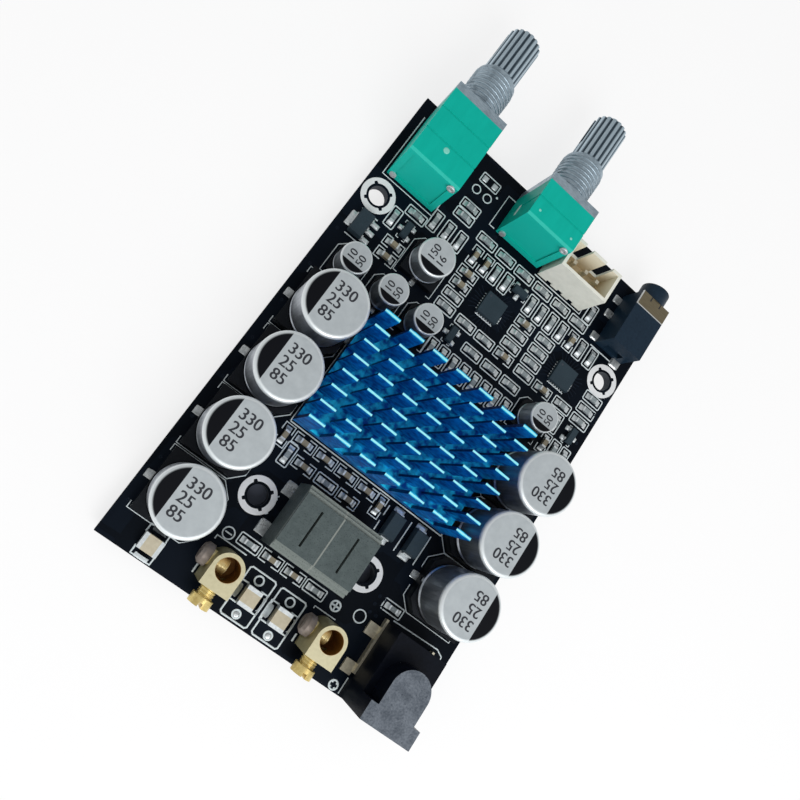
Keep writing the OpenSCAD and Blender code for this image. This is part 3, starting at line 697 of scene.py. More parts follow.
def side_screw_finish(name):
    """The finish of one side screw: a dull head and a bright shank."""
    low, high = box_mm(name)
    screw = Finish("metal_of_" + name)
    head = screw.step(screw.along(screw.place, 0), low.x + SCREW_HEAD_T + 0.1, low.x + SCREW_HEAD_T)
    patch = screw.noise(1.5, 4.0)
    dull = screw.mix(tint(104, 94, 88), tint(156, 146, 138), patch)
    bright = screw.mix(tint(232, 200, 112), tint(255, 244, 190), patch)
    screw.wear(Base_Color=screw.mix(bright, dull, head))
    screw.wear(Metallic=0.2 + head * 0.3)
    screw.wear(Roughness=0.24 + head * 0.2 + patch * 0.1)
    screw.bump(patch, 0.012)
    return screw


for side in ("negative", "positive"):
    paint(terminal_finish(side + "_terminal"), side + "_terminal")
    paint(side_screw_finish(side + "_side_screw"), side + "_side_screw")

# %% [markdown]
# A thin metal plate is folded over the audio jack's front. It is olive bronze, bright along its cut
# rear and inner edges, and two narrow slots show the dark plastic below.

# %% Audio jack plate
plate_low, plate_high = box_mm("audio_jack_plate")
bronze = Finish("bronze_plate")
plate_x = bronze.along(bronze.place, 0)
plate_y = bronze.along(bronze.place, 1)
brushed = bronze.noise(1.0, 4.0, bronze.stretched(0.8, 8, 1))
olive = bronze.mix(tint(88, 80, 62), tint(130, 120, 96), brushed)
bright_edge = calc("MAXIMUM", bronze.step(plate_y, plate_low.y + 0.22, plate_low.y + 0.12),
                   bronze.step(plate_x, plate_low.x + 0.22, plate_low.x + 0.12))
slots = bronze.between(plate_y, plate_high.y - 0.9, plate_high.y + 0.1)
thirds = (plate_high.x - plate_low.x) / 3
SLOT_HALF = 0.14
slot_places = [plate_low.x + k * thirds for k in (1, 2)]
in_slots = [bronze.between(plate_x, x - SLOT_HALF, x + SLOT_HALF) for x in slot_places]
slots = slots * (in_slots[0] + in_slots[1])
finished = bronze.mix(olive, tint(206, 208, 206), bright_edge)
bronze.wear(Base_Color=bronze.mix(finished, tint(12, 16, 22), slots))
bronze.wear(Metallic=0.6 - slots * 0.6)
bronze.wear(Roughness=0.36 + brushed * 0.12)
bronze.bump(brushed - slots * 2.0, 0.02)
paint(bronze, "audio_jack_plate")
print("audio plate, mm:", [round(v, 2) for v in plate_high - plate_low])

# %% [markdown]
# Small parts are placed where the model has them, never by a second list of numbers. The next
# helper takes a solid apart into its separate bodies and gives the box of each one, so that a chip,
# a lead or a pin can be found and dressed.

# %% Finding the bodies in a solid
def bodies_of(name):
    """Lowest and highest corners of each separate body in one solid."""
    work = bmesh.new()
    work.from_mesh(solids[name].data)
    bmesh.ops.remove_doubles(work, verts=work.verts, dist=1e-6)
    boxes, seen_verts = [], set()
    for start in work.verts:
        if start in seen_verts:
            continue
        group, waiting = [], [start]
        seen_verts.add(start)
        while waiting:
            vert = waiting.pop()
            group.append(vert.co)
            for link in vert.link_edges:
                other = link.other_vert(vert)
                if other not in seen_verts:
                    seen_verts.add(other)
                    waiting.append(other)
        low = Vector([min(co[i] for co in group) for i in range(3)])
        high = Vector([max(co[i] for co in group) for i in range(3)])
        boxes.append((low, high))
    work.free()
    return boxes


def middle(low, high, z=0.0):
    """The middle of a box in plan, at a height of its own."""
    return Vector(((low.x + high.x) / 2, (low.y + high.y) / 2, z))


def chip_turn(low, high):
    """The turn about z that lays the x axis along a chip."""
    return 0.0 if high.x - low.x > high.y - low.y else math.pi / 2


resistors = bodies_of("chip_resistors")
ceramics = bodies_of("chip_ceramics")
chips = resistors + ceramics
print("chips found:", len(resistors), "resistors and", len(ceramics), "ceramics")

# %% [markdown]
# Everything that repeats is made with Geometry Nodes. A tree is built here in Python, gets named
# inputs for its sizes, and ends by turning its instances into real geometry with a material. The
# result is then copied into a plain mesh, because the finished piece should carry no modifier.

# %% Geometry Nodes helper
class Former(NodeTree):
    """A Geometry Nodes tree that turns points or lines into a finished piece."""

    def __init__(self, name):
        self.tree = bpy.data.node_groups.new(name, "GeometryNodeTree")
        self.entry = self.tree.nodes.new("NodeGroupInput")
        self.exit = self.tree.nodes.new("NodeGroupOutput")
        self.sockets = {}
        self.source = self.input("Geometry", "NodeSocketGeometry")
        face = self.tree.interface
        face.new_socket("Geometry", in_out="OUTPUT", socket_type="NodeSocketGeometry")

    def input(self, title, kind):
        """A named input of the tree."""
        face = self.tree.interface
        socket = face.new_socket(title, in_out="INPUT", socket_type=kind)
        self.sockets[title] = socket.identifier
        return Value(self.entry.outputs[title])

    def reading(self, title, kind):
        """An attribute that each point carries."""
        settings = {"data_type": kind}
        return self.add("GeometryNodeInputNamedAttribute", settings, {"Name": title}, "Attribute")

    def on_points(self, shape):
        """One copy of a shape on each point, turned and sized as the point says."""
        turn = self.add("ShaderNodeCombineXYZ", {}, {"Z": self.reading("turn", "FLOAT")})
        size = self.reading("size", "FLOAT_VECTOR")
        sockets = {"Points": self.source, "Instance": shape, "Rotation": turn, "Scale": size}
        return self.add("GeometryNodeInstanceOnPoints", {}, sockets)

    def close(self, geometry):
        """Ends the tree: real geometry with a material."""
        real = self.add("GeometryNodeRealizeInstances", {}, {"Geometry": geometry})
        finish = self.input("Finish", "NodeSocketMaterial")
        done = self.add("GeometryNodeSetMaterial", {}, {"Geometry": real, "Material": finish})
        put(self.exit.inputs["Geometry"], done)


def form(name, start, former, finish, slot, body="board", **sizes):
    """Runs a tree on a start mesh and leaves a plain mesh that rides on a body."""
    raw = bpy.data.objects.new(name + "_start", start)
    scene.collection.objects.link(raw)
    modifier = raw.modifiers.new("form", "NODES")
    modifier.node_group = former.tree
    modifier[former.sockets["Finish"]] = finish.material
    for title, item in sizes.items():
        modifier[former.sockets[title.replace("_", " ")]] = item
    result = raw.evaluated_get(bpy.context.evaluated_depsgraph_get())
    mesh = bpy.data.meshes.new_from_object(result)
    bpy.data.objects.remove(raw)
    return keep(name, mesh, body)


def keep(name, mesh, body="board"):
    """Makes a mesh a piece that rides on a body."""
    piece = bpy.data.objects.new(name, mesh)
    scene.collection.objects.link(piece)
    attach(piece, body)
    print(name, "faces:", len(mesh.polygons))
    return piece


def points(places):
    """Loose points of (place, turn about z, size), as a start mesh."""
    mesh = bpy.data.meshes.new("points")
    mesh.from_pydata([place for place, turn, size in places], [], [])
    turns = mesh.attributes.new("turn", "FLOAT", "POINT")
    sizes = mesh.attributes.new("size", "FLOAT_VECTOR", "POINT")
    for index, (place, turn, size) in enumerate(places):
        turns.data[index].value = turn
        sizes.data[index].vector = size
    return mesh


def paths(runs):
    """Lines through lists of places, as a start mesh of edges."""
    mesh = bpy.data.meshes.new("paths")
    verts, edges = [], []
    for run in runs:
        first = len(verts)
        verts += run
        edges += [(first + i, first + i + 1) for i in range(len(run) - 1)]
    mesh.from_pydata(verts, edges, [])
    return mesh


# %% [markdown]
# The white print on the board is ink a few hundredths of a millimetre thick. Round every small
# resistor it draws a closed frame. One frame curve is copied to every chip, sized there, rounded at
# its corners and only then given its line width, so that all lines stay equally wide.

# %% White ink and resistor frames
ink = Finish("white_board_ink", Roughness=0.6, Specular_IOR_Level=0.2)
ink_fade = ink.noise(2.5, 4.0)
ink.wear(Base_Color=ink.mix(tint(188, 201, 205), tint(230, 238, 240), ink_fade))
ink.bump(ink.noise(12.0), 0.01)


def pressed(former, curve):
    """Gives a curve a line width and presses it flat on the board."""
    width = former.input("Line Width", "NodeSocketFloat")
    lift = former.input("Level", "NodeSocketFloat")
    ring = {"Resolution": 6, "Radius": width * 0.5}
    pen = former.add("GeometryNodeCurvePrimitiveCircle", {}, ring)
    line = {"Curve": curve, "Profile Curve": pen, "Fill Caps": True}
    drawn = former.add("GeometryNodeCurveToMesh", {}, line)
    height = former.add("ShaderNodeCombineXYZ", {}, {"Z": lift})
    press = {"Geometry": drawn, "Scale": (1, 1, 0.25), "Translation": height}
    return former.add("GeometryNodeTransform", {}, press)


frames = Former("chip_frames")
square = frames.add("GeometryNodeCurvePrimitiveQuadrilateral", {}, {"Width": 1.0, "Height": 1.0})
copies = frames.add("GeometryNodeRealizeInstances", {}, {"Geometry": frames.on_points(square)})
corner = frames.input("Corner", "NodeSocketFloat")
soft = frames.add("GeometryNodeFilletCurve", {}, {"Curve": copies, "Radius": corner})
frames.close(pressed(frames, soft))

INK = 0.23 * MM
FRAME_L, FRAME_W, FRAME_CORNER = mm(3.7, 1.8, 0.15)
TOP, UNDER = board_high.z, board_low.z
marks = [(middle(*box), chip_turn(*box), (FRAME_L, FRAME_W, 1.0)) for box in resistors]
form("resistor_frame_print", points(marks), frames, ink, "solder_mask",
     Line_Width=INK, Level=TOP, Corner=FRAME_CORNER)

# %% [markdown]
# Round the ceramics the frame is open in the middle of both long sides, so it becomes two brackets.
# Every other mark is a stroke as well: outlines of larger parts, rings, the minus and plus signs
# beside the screw terminals and the wavy sign of a coil. One tree turns any list of lines into ink.

# %% Strokes
strokes = Former("board_strokes")
strokes.close(pressed(strokes, strokes.add("GeometryNodeMeshToCurve", {}, {"Mesh": strokes.source})))


def draw(name, runs, width, finish=ink, level=TOP):
    """Draws lines on one face of the board as a piece."""
    form(name, paths(runs), strokes, finish, "solder_mask", Line_Width=width, Level=level)


def run(*places):
    """A line through places on the ruler."""
    return [(on_board(x, y).x, on_board(x, y).y, 0.0) for x, y in places]


def ring(x, y, radius, sides=28):
    """A closed round line."""
    turns = [2 * math.pi * i / sides for i in range(sides + 1)]
    return run(*[(x + radius * math.cos(a), y + radius * math.sin(a)) for a in turns])


def rectangle(x0, y0, x1, y1, corner=0.0):
    """A closed line with its corners cut by a small amount, which reads as rounded."""
    c = corner
    return run((x0 + c, y0), (x1 - c, y0), (x1, y0 + c), (x1, y1 - c), (x1 - c, y1),
               (x0 + c, y1), (x0, y1 - c), (x0, y0 + c), (x0 + c, y0))


def brackets(low, high, length, width, open_half):
    """Two brackets round a chip that leave the middle of its long sides open."""
    centre, turn = middle(low, high), chip_turn(low, high)
    ahead = Vector((math.cos(turn), math.sin(turn), 0))
    aside = Vector((-ahead.y, ahead.x, 0))
    runs = []
    for way in (-1, 1):
        shape = [(open_half, -width / 2), (length / 2, -width / 2),
                 (length / 2, width / 2), (open_half, width / 2)]
        runs.append([centre + ahead * x * way + aside * y for x, y in shape])
    return runs


SMALL_CHIP = 1.5 * MM
bracket_runs = []
for box in ceramics:
    if max(box[1] - box[0]) < SMALL_CHIP:
        bracket_runs += brackets(*box, FRAME_L, FRAME_W, 0.55 * MM)
draw("ceramic_bracket_print", bracket_runs, INK)

# %% [markdown]
# The lines round the larger parts are kept as plain lists of corners on the ruler. They are drawn
# in two widths, because the frames beside the screw terminals are bolder than the rest.

# %% Outlines and signs
part_runs = [
    run((1.55, 81.5), (1.55, 69.2), (11.95, 69.2), (11.95, 81.5)),
    run((21.6, 75.1), (20.5, 75.1), (20.5, 81.4), (22, 81.4)),
    run((31.9, 73.9), (42.5, 73.9), (42.5, 80.6)),
    run((47.3, 71.1), (52.2, 71.1)),
    rectangle(13.1, 28.75, 43.4, 48.2),
    run((14.3, 8.4), (14.3, 9.05), (19.6, 9.05)),
    run((32.6, 8.4), (32.6, 8.8), (36.5, 8.8)),
    run((43.35, 0.3), (43.35, 3)),
    run((44.5, 13.75), (53.4, 14.1), (54.6, 13.5), (55.3, 9.9)),
    run((33.5, 27.7), (33.5, 25.9)),
    run((33.5, 24.9), (33.5, 23.2)),
    run((38.1, 27.7), (38.1, 22.4)),
    run((42.1, 27.7), (42.1, 22.4)),
    run((27.1, 61.5), (30.7, 61.5)),
    run((44.2, 60.7), (47.8, 60.7)),
    run((2.4, 57.4), (5.5, 57.4)),
    run((2.4, 62.4), (5.5, 62.4)),
    ring(15.5, 10.15, 0.9),
    run((14.9, 10.15), (16.1, 10.15)),
    ring(39.45, 11.35, 1.0),
    ring(15.3, 78.3, 0.75),
    ring(17.7, 78.3, 0.75),
    rectangle(14.75, 79.9, 18.45, 81.7, 0.12),
    ring(19.0, 79.6, 0.12, 10),
    run(*[(18.2 + 0.28 * (k % 2), 15.4 + 0.3 * k) for k in range(12)]),
]
draw("part_outline_print", part_runs, INK)

bold_runs = [
    rectangle(21.1, 0.45, 25.8, 8.3, 0.3),
    rectangle(26.75, 0.45, 31.45, 8.3, 0.3),
    run((14.5, 2.8), (14.5, 4.2)),
    run((32.65, 2.7), (32.65, 4)),
    ring(23.35, 7.1, 0.7),
    ring(29.1, 7.1, 0.7),
    ring(23.4, 1.45, 0.62),
    ring(29.2, 1.45, 0.62),
    ring(35.3, 10.5, 0.8),
    run((34.6, 10.5), (36, 10.5)),
    run((35.3, 9.8), (35.3, 11.2)),
    ring(41.95, 0.95, 0.72),
    run((41.67, 0.67), (41.52, 0.52)),
    run((42.23, 0.67), (42.38, 0.52)),
    run((41.67, 1.23), (41.52, 1.38)),
    run((42.23, 1.23), (42.38, 1.38)),
]
for box in ceramics:
    if max(box[1] - box[0]) > SMALL_CHIP:
        bold_runs += brackets(*box, *mm(4.9, 3.2, 1.1))
BOLD_INK = 0.31 * MM
draw("bold_print", bold_runs, BOLD_INK)

# %% [markdown]
# Capacitor outlines follow each moulded base at a small distance and leave a gap at the two leads.
# The cut corners point away from the black field, as on the base itself. The square chips get a short
# line beside them and the small transistors get corner brackets.

# %% Capacitor outlines and corners
def base_outline(low, high, toward, gap):
    """Two half outlines round a square base, with cut corners on the side away from toward."""
    centre = middle(low, high)
    half = (high.x - low.x) / 2 + gap
    away = Vector((-toward[0], -toward[1], 0))
    aside = Vector((away.y, -away.x, 0))
    shape = [(-1, 0.8), (-1, 1), (0.64, 1), (1, 0.64), (1, 0.3)]
    return [[centre + away * x * half + aside * y * half * way for x, y in shape] for way in (-1, 1)]


def corner_marks(low, high, gap, leg):
    """Four corner brackets at a gap round a box."""
    runs = []
    for sx, x in ((1, low.x - gap), (-1, high.x + gap)):
        for sy, y in ((1, low.y - gap), (-1, high.y + gap)):
            runs.append([(x + sx * leg, y, 0.0), (x, y, 0.0), (x, y + sy * leg, 0.0)])
    return runs


TALLEST_TRANSISTOR = 1.5 * MM
outline_runs = []
for number in range(1, 8):
    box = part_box("bulk_capacitor_base_%d" % number)
    outline_runs += base_outline(*box, LEFT if number < 5 else RIGHT, 0.3 * MM)
for box in bodies_of("small_capacitor_bases"):
    outline_runs += base_outline(*box, DOWN, 0.42 * MM)
outline_runs += base_outline(*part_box("input_capacitor_base"), DOWN, 0.5 * MM)
for name in ("preamp_chip", "filter_chip"):
    low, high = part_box(name)
    beside = high.x + 0.4 * MM
    outline_runs.append([(beside, low.y + 0.7 * MM, 0.0), (beside, low.y + 2.1 * MM, 0.0)])
for box in bodies_of("diodes_and_transistors"):
    if box[1].z - box[0].z < TALLEST_TRANSISTOR:
        outline_runs += corner_marks(*box, *mm(0.2, 0.5))
draw("base_outline_print", outline_runs, INK * 0.8)

# %% [markdown]
# Copper tracks run from the pins of the two square chips to their neighbours. They lie under the
# lacquer, so they show only as slightly raised, slightly paler black lines. The underside has long
# ones that join the rows of pins.

# %% Tracks under the lacquer
track_black = moulding("lacquered_track", tint(9, 17, 28), tint(18, 28, 40), 2.0, 0.34, 0.01, 0.08)
TRACK_W, UNDER_TRACK_W, PIN_PITCH = mm(0.2, 0.26, 0.5)
PINS_A_SIDE = 7
quad_sides = []
for name in ("preamp_chip", "filter_chip"):
    low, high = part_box(name)
    half = (high.x - low.x) / 2
    for quarter in range(4):
        angle = quarter * math.pi / 2
        out = Vector((math.cos(angle), math.sin(angle), 0))
        quad_sides.append((middle(low, high), out, Vector((-out.y, out.x, 0)), half))

track_runs = []
for centre, out, aside, half in quad_sides:
    for k in range(PINS_A_SIDE):
        offset = k - (PINS_A_SIDE - 1) / 2
        knee = half + (0.9 - 0.12 * abs(offset)) * MM
        tail = half + (1.5 + 0.25 * (k % 3)) * MM
        shape = [(half, offset), (knee, offset), (tail, offset * 1.45)]
        track_runs.append([centre + out * x + aside * y * PIN_PITCH for x, y in shape])
draw("chip_tracks", track_runs, TRACK_W, track_black)

under_runs = []
for k in range(5):
    x = 14.6 + 0.55 * k
    aside_x = x + 3 - k * 0.3
    under_runs.append(run((x, 25 + k), (x, 62 - k), (aside_x, 65 - 1.3 * k), (aside_x, 72 + k * 0.4)))
for k in range(4):
    y = 52.2 + 0.6 * k
    aside_y = y + 3 - k * 0.4
    under_runs.append(run((20 + k, y), (38 - k, y), (41 - k * 0.6, aside_y), (50 - k, aside_y)))
for k in range(3):
    x = 40.5 + 0.6 * k
    under_runs.append(run((x, 11 + k), (x, 24 - k), (x + 2, 26 - k), (x + 2, 46 + k)))
draw("underside_tracks", under_runs, UNDER_TRACK_W, track_black, UNDER)

# %% [markdown]
# Solder wets a chip's metal end and runs down to its pad in a hollow slope. The slope is one small
# grid of faces, highest against the chip. A tree copies it to both ends of every chip. Other small
# shapes are made from a grid in the same way: a pillow of solder, a low dome and a button with a
# dimple. A rivet's end and a raised bar are such shapes laid over to face the rear.

# %% Small shapes on a grid
def grid_mesh(name, columns, rows, shape, toward=(0, 0, 1)):
    """A grid over the unit square, with shape(u, v) giving each point, facing toward."""
    mesh = bmesh.new()
    spots = []
    for i in range(columns + 1):
        spots.append([mesh.verts.new(shape(i / columns, j / rows)) for j in range(rows + 1)])
    for i in range(columns):
        for j in range(rows):
            mesh.faces.new((spots[i][j], spots[i + 1][j], spots[i + 1][j + 1], spots[i][j + 1]))
    bmesh.ops.remove_doubles(mesh, verts=mesh.verts, dist=1e-5)
    bmesh.ops.recalc_face_normals(mesh, faces=mesh.faces)
    if sum((face.normal * face.calc_area() for face in mesh.faces), Vector()).dot(Vector(toward)) < 0:
        bmesh.ops.reverse_faces(mesh, faces=mesh.faces)
    for face in mesh.faces:
        face.smooth = True
    data = bpy.data.meshes.new(name)
    mesh.to_mesh(data)
    mesh.free()
    shape_object = bpy.data.objects.new(name, data)
    scene.collection.objects.link(shape_object)
    return shape_object


def slope(u, v):
    """From the chip's end at u = 0 down to the pad's rim at u = 1."""
    side = 2 * v - 1
    return (u, side * 0.5, (1 - u) ** 2.2 * (1 - abs(side) ** 4 * 0.5) * (1 - u * 0.2))


def pillow(u, v):
    """A low pillow of solder over a square pad."""
    x, y = 2 * u - 1, 2 * v - 1
    return (x * 0.5, y * 0.5, (1 - x ** 6) * (1 - y ** 6))


def turned(profile):
    """A round shape from a profile of (radius, height) pairs, from the rim to the middle."""
    def shape(u, v):
        spot = u * (len(profile) - 1)
        first = min(int(spot), len(profile) - 2)
        part = spot - first
        radius, height = [a + (b - a) * part for a, b in zip(profile[first], profile[first + 1])]
        return (radius * math.cos(2 * math.pi * v), radius * math.sin(2 * math.pi * v), height)
    return shape


def rear_facing(shape):
    """The same shape with its height along -y, for the controls' rear faces."""
    def laid(u, v):
        x, y, z = shape(u, v)
        return (x, -z, y)
    return laid


button = turned([(1.0, 0.0), (0.97, 0.55), (0.82, 0.9), (0.6, 1.0), (0.48, 0.8), (0.42, 0.35),
                 (0.0, 0.3)])
dome = turned([(1.0, 0.0), (0.96, 0.35), (0.8, 0.72), (0.5, 0.94), (0.0, 1.0)])
shapes = {
    "slope": grid_mesh("solder_slope", 6, 6, slope),
    "pillow": grid_mesh("solder_pillow", 8, 8, pillow),
    "button": grid_mesh("dimpled_button", 6, 16, button),
    "dome": grid_mesh("low_dome", 4, 16, dome),
    "rivet": grid_mesh("rivet_end", 6, 20, rear_facing(button), (0, -1, 0)),
    "bar": grid_mesh("raised_bar", 8, 8, rear_facing(pillow), (0, -1, 0)),
}

copies_of = Former("copies_of_a_shape")
shape_in = copies_of.input("Shape", "NodeSocketObject")
shape_mesh = copies_of.add("GeometryNodeObjectInfo", {}, {"Object": shape_in}, "Geometry")
copies_of.close(copies_of.on_points(shape_mesh))


def spread(name, places, shape, finish, slot):
    """One copy of a shape at every place, as a piece."""
    return form(name, points(places), copies_of, finish, slot, Shape=shapes[shape])


print("shapes:", list(shapes))

# %% [markdown]
# Now the slopes go to the chips. A chip's own end cap is found from the length of its body, because
# the two sizes of chip have ends of different lengths.

# %% Solder slopes at the chips
ends = []
for low, high in chips:
    turn = chip_turn(low, high)
    long = max(high.x - low.x, high.y - low.y)
    wide = min(high.x - low.x, high.y - low.y)
    small = long < SMALL_CHIP
    end, slope_l = mm(0.3, 0.68) if small else mm(0.6, 0.75)
    size = (slope_l, wide + 0.16 * MM, (high.z - low.z) * 0.8)
    for way in (0.0, math.pi):
        reach_out = Vector((math.cos(turn + way), math.sin(turn + way), 0)) * (long / 2 + end)
        ends.append((middle(low, high, TOP) + reach_out, turn + way, size))
spread("chip_solder", ends, "slope", tinned, "tinned")

# %% [markdown]
# Leads and tabs lie in low pillows of solder on pads a little larger than themselves. The pads are
# found from the leads' own boxes, so each one sits where its lead is. The solder on the broad tabs
# is duller than that on the fine leads. The square chips have no leads but a row of small pads that
# just show along each side. One pair of pads beside the volume control was left without a part.

# %% Solder at the leads
pads = []
dull_pads = []
for name, margin, heap in (("capacitor_leads", 0.08, dull_pads), ("inductor_leads", 0.06, dull_pads),
                           ("chip_leads", 0.2, pads), ("audio_jack_contacts", 0.2, dull_pads)):
    for low, high in bodies_of(name):
        span = high - low
        size = (span.x + 2 * margin * MM, span.y + 2 * margin * MM, min(span.z * 0.9, 0.28 * MM))
        heap.append((middle(low, high, TOP), 0.0, size))
for centre, out, aside, half in quad_sides:
    for k in range(PINS_A_SIDE):
        place = centre + out * half + aside * (k - (PINS_A_SIDE - 1) / 2) * PIN_PITCH
        place.z = TOP
        dull_pads.append((place, math.atan2(out.y, out.x), mm(0.42, 0.22, 0.08)))
for x in (15.55, 17.65):
    pads.append((on_board(x, 80.8), 0.0, mm(1.0, 1.05, 0.12)))
spread("lead_solder", pads, "pillow", tinned, "tinned")
spread("tab_solder", dull_pads, "pillow", dull_tin, "tinned")

rounds = [(on_board(x, 1.45), 0.0, mm(0.5, 0.5, 0.08)) for x in (23.4, 29.2)]
spread("terminal_test_pads", rounds, "dome", dull_tin, "tinned")

# %% [markdown]
# A via is a plated hole that joins the two faces of the board. Here the vias are filled over with
# lacquer, so each is a tiny dimpled button. They stand in rows where current or heat has to go
# through: beside the heatsink, along the power end and under the amplifier chip.

# %% Vias
via_places = [(14.4 + 2.9 * k, 49.4) for k in range(10)]
via_places += [(45.6 + 1.3 * (k % 3), 49.6 + 1.1 * (k // 3)) for k in range(3)]
via_places += [(1.2, 6 + 7.3 * k) for k in range(8)] + [(54.9, 19 + 6.1 * k) for k in range(8)]
via_places += [(40.4 + 1.2 * (k % 2), 12.8 + 1.4 * (k // 2)) for k in range(6)]
VIA_R, VIA_H = 0.32, 0.05
upper_vias = [(on_board(x, y), 0.0, mm(VIA_R, VIA_R, VIA_H)) for x, y in via_places]
spread("upper_vias", upper_vias, "button", track_black, "solder_mask")


def hanging(name, places, finish, slot):
    """Vias under the board, turned to face down."""
    drop = Vector((0, 0, UNDER - TOP))
    below = [(on_board(x, y) + drop, 0.0, mm(VIA_R, VIA_R, -VIA_H)) for x, y in places]
    piece = spread(name, below, "button", finish, slot)
    piece.data.flip_normals()


thermal = [(23.6 + 1.4 * i, 35.8 + 1.3 * j) for i in range(7) for j in range(5)]
hanging("lower_vias", via_places, track_black, "solder_mask")
hanging("thermal_vias", thermal, tinned, "tinned")

# %% [markdown]
# Under the board, every pin that passes through it stands in a cone of solder. The pins are found
# as what reaches below the board's underside. The cone's profile is hollow, like the slopes above.

# %% Solder cones underneath
DEEP, PIN_REACH = mm(0.5, 1.4)


def feet(name):
    """Middles of what a solid has below the board."""
    found = []
    for vert in solids[name].data.vertices:
        if vert.co.z < UNDER - DEEP:
            near = [group for group in found if (group[0] - vert.co).to_2d().length < PIN_REACH]
            if near:
                near[0].append(vert.co.copy())
            else:
                found.append([vert.co.copy()])
    middles = []
    for group in found:
        low = Vector([min(co[i] for co in group) for i in range(3)])
        high = Vector([max(co[i] for co in group) for i in range(3)])
        middles.append((low + high) / 2)
    return middles


def hanging_cone(u, v):
    """Round the pin at u = 0, up to the pad's rim at u = 1; it hangs below the board."""
    angle = 2 * math.pi * v
    radius = 0.38 + 0.62 * u ** 1.2
    return (radius * math.cos(angle), radius * math.sin(angle), -((1 - u) ** 1.8))


shapes["cone"] = grid_mesh("solder_cone", 6, 20, hanging_cone, (0, 0, -1))
pins = []
for name in ("volume_terminals", "tone_terminals", "header_pins",
             "negative_terminal", "positive_terminal"):
    pins += feet(name)
cones = [(Vector((pin.x, pin.y, UNDER)), 0.0, mm(1.05, 1.05, 0.8)) for pin in pins]
spread("underside_solder", cones, "cone", tinned, "tinned")
print("pins found:", len(pins))

# %% [markdown]
# Each mounting hole has a white ring on both faces, with four square notches in its inner edge. The
# holes are read from the model's own mounts. The ring is a strip of faces round the hole whose
# inner radius steps out at the notches.

# %% Rings at the mounting holes
ring_white = moulding("hole_ring_white", tint(214, 216, 218), tint(236, 238, 240), 3.0, 0.5, 0.01, 0.3)


RING_SIDES, NOTCH_HALF = 96, 8
RING_IN, NOTCH_R, RING_OUT, RING_EDGE, RING_T = mm(2.0, 2.4, 2.95, 0.05, 0.03)


def hole_ring(mesh, centre, z, up):
    """Adds a ring round a hole; up is 1 on the upper face of the board and -1 under it."""
    middle_here = Vector((centre.x, centre.y, z))
    foot = Vector((0, 0, -up * RING_T))
    strip = []
    for i in range(RING_SIDES):
        angle = 2 * math.pi * (i + 0.5) / RING_SIDES
        from_corner = abs((math.degrees(angle) % 90) - 45)
        near = NOTCH_R if from_corner < NOTCH_HALF else RING_IN
        ray = Vector((math.cos(angle), math.sin(angle), 0))
        line = [(near, foot), (near, Vector()), (RING_OUT - RING_EDGE, Vector()), (RING_OUT, foot)]
        strip.append([mesh.verts.new(middle_here + ray * r + drop) for r, drop in line])
    for i in range(RING_SIDES):
        a, b = strip[i], strip[(i + 1) % RING_SIDES]
        for k in range(3):
            quad = (a[k], a[k + 1], b[k + 1], b[k])
            mesh.faces.new(quad if up > 0 else quad[::-1])


mounts = {mount["name"]: mount for mount in frame["record"]["mounts"]}
hole_centres = [Vector(mounts[name]["pos_m"]) for name in ("upper_left_hole", "upper_right_hole")]
pair = mounts["lower_mounting_holes"]
for way in (-0.5, 0.5):
    apart = Vector((way * pair["dims"]["spacing_x_mm"] * MM, 0, 0))
    hole_centres.append(Vector(pair["pos_m"]) + apart)
ring_mesh = bmesh.new()
for centre in hole_centres:
    hole_ring(ring_mesh, centre, TOP + RING_T, 1)
    hole_ring(ring_mesh, centre, UNDER - RING_T, -1)
ring_data = bpy.data.meshes.new("hole_rings")
ring_mesh.to_mesh(ring_data)
ring_mesh.free()
ring_data.materials.append(ring_white.material)
keep("hole_rings", ring_data)

# %% [markdown]
# Threads are spirals with a small square section that stand on a plain shank like the crest of the
# thread. One tree serves the control bushes and the terminal screws. A thread rides on the body of
# its own shank, so it goes along when the screw moves. The side screws have it only near the tip, or
# it would cut into the terminal when the screw backs out.

# %% Threads
thread = Former("thread_crest")
turns = thread.input("Turns", "NodeSocketFloat")
thread_r = thread.input("Radius", "NodeSocketFloat")
thread_l = thread.input("Length", "NodeSocketFloat")
crest_w = thread.input("Crest", "NodeSocketFloat")
lie = thread.input("Lie", "NodeSocketVector")
start_at = thread.input("Start", "NodeSocketVector")
coil = {"Resolution": 32, "Rotations": turns, "Height": thread_l}
coil.update({"Start Radius": thread_r, "End Radius": thread_r})
helix = thread.add("GeometryNodeCurveSpiral", {}, coil)
section = thread.add("GeometryNodeCurvePrimitiveCircle", {}, {"Resolution": 4, "Radius": crest_w})
profile = {"Curve": helix, "Profile Curve": section, "Fill Caps": True}
wound = thread.add("GeometryNodeCurveToMesh", {}, profile)
laid = {"Geometry": wound, "Rotation": lie, "Translation": start_at}
thread.close(thread.add("GeometryNodeTransform", {}, laid))
ALONG_Y, ALONG_X = (-math.pi / 2, 0, 0), (0, math.pi / 2, 0)


def crest_on(name, finish, slot, body, start, length, radius, crest, pitch, lie_along):
    """A thread from start along an axis, with its sizes in millimetres."""
    form(name, bpy.data.meshes.new("empty"), thread, finish, slot, body, Turns=length / pitch,
         Radius=radius * MM, Length=length * MM, Crest=crest * MM, Lie=lie_along, Start=start)


PLATE_T = 1.35
BUSH_THREAD = 6.6
for name in ("volume", "tone"):
    low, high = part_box(name + "_bush")
    axis = Vector(((low.x + high.x) / 2, low.y + (PLATE_T + 0.7) * MM, (low.z + high.z) / 2))
    crest_on(name + "_bush_thread", zinc, "zinc", "board", axis, BUSH_THREAD, 3.46, 0.2, 0.75, ALONG_Y)

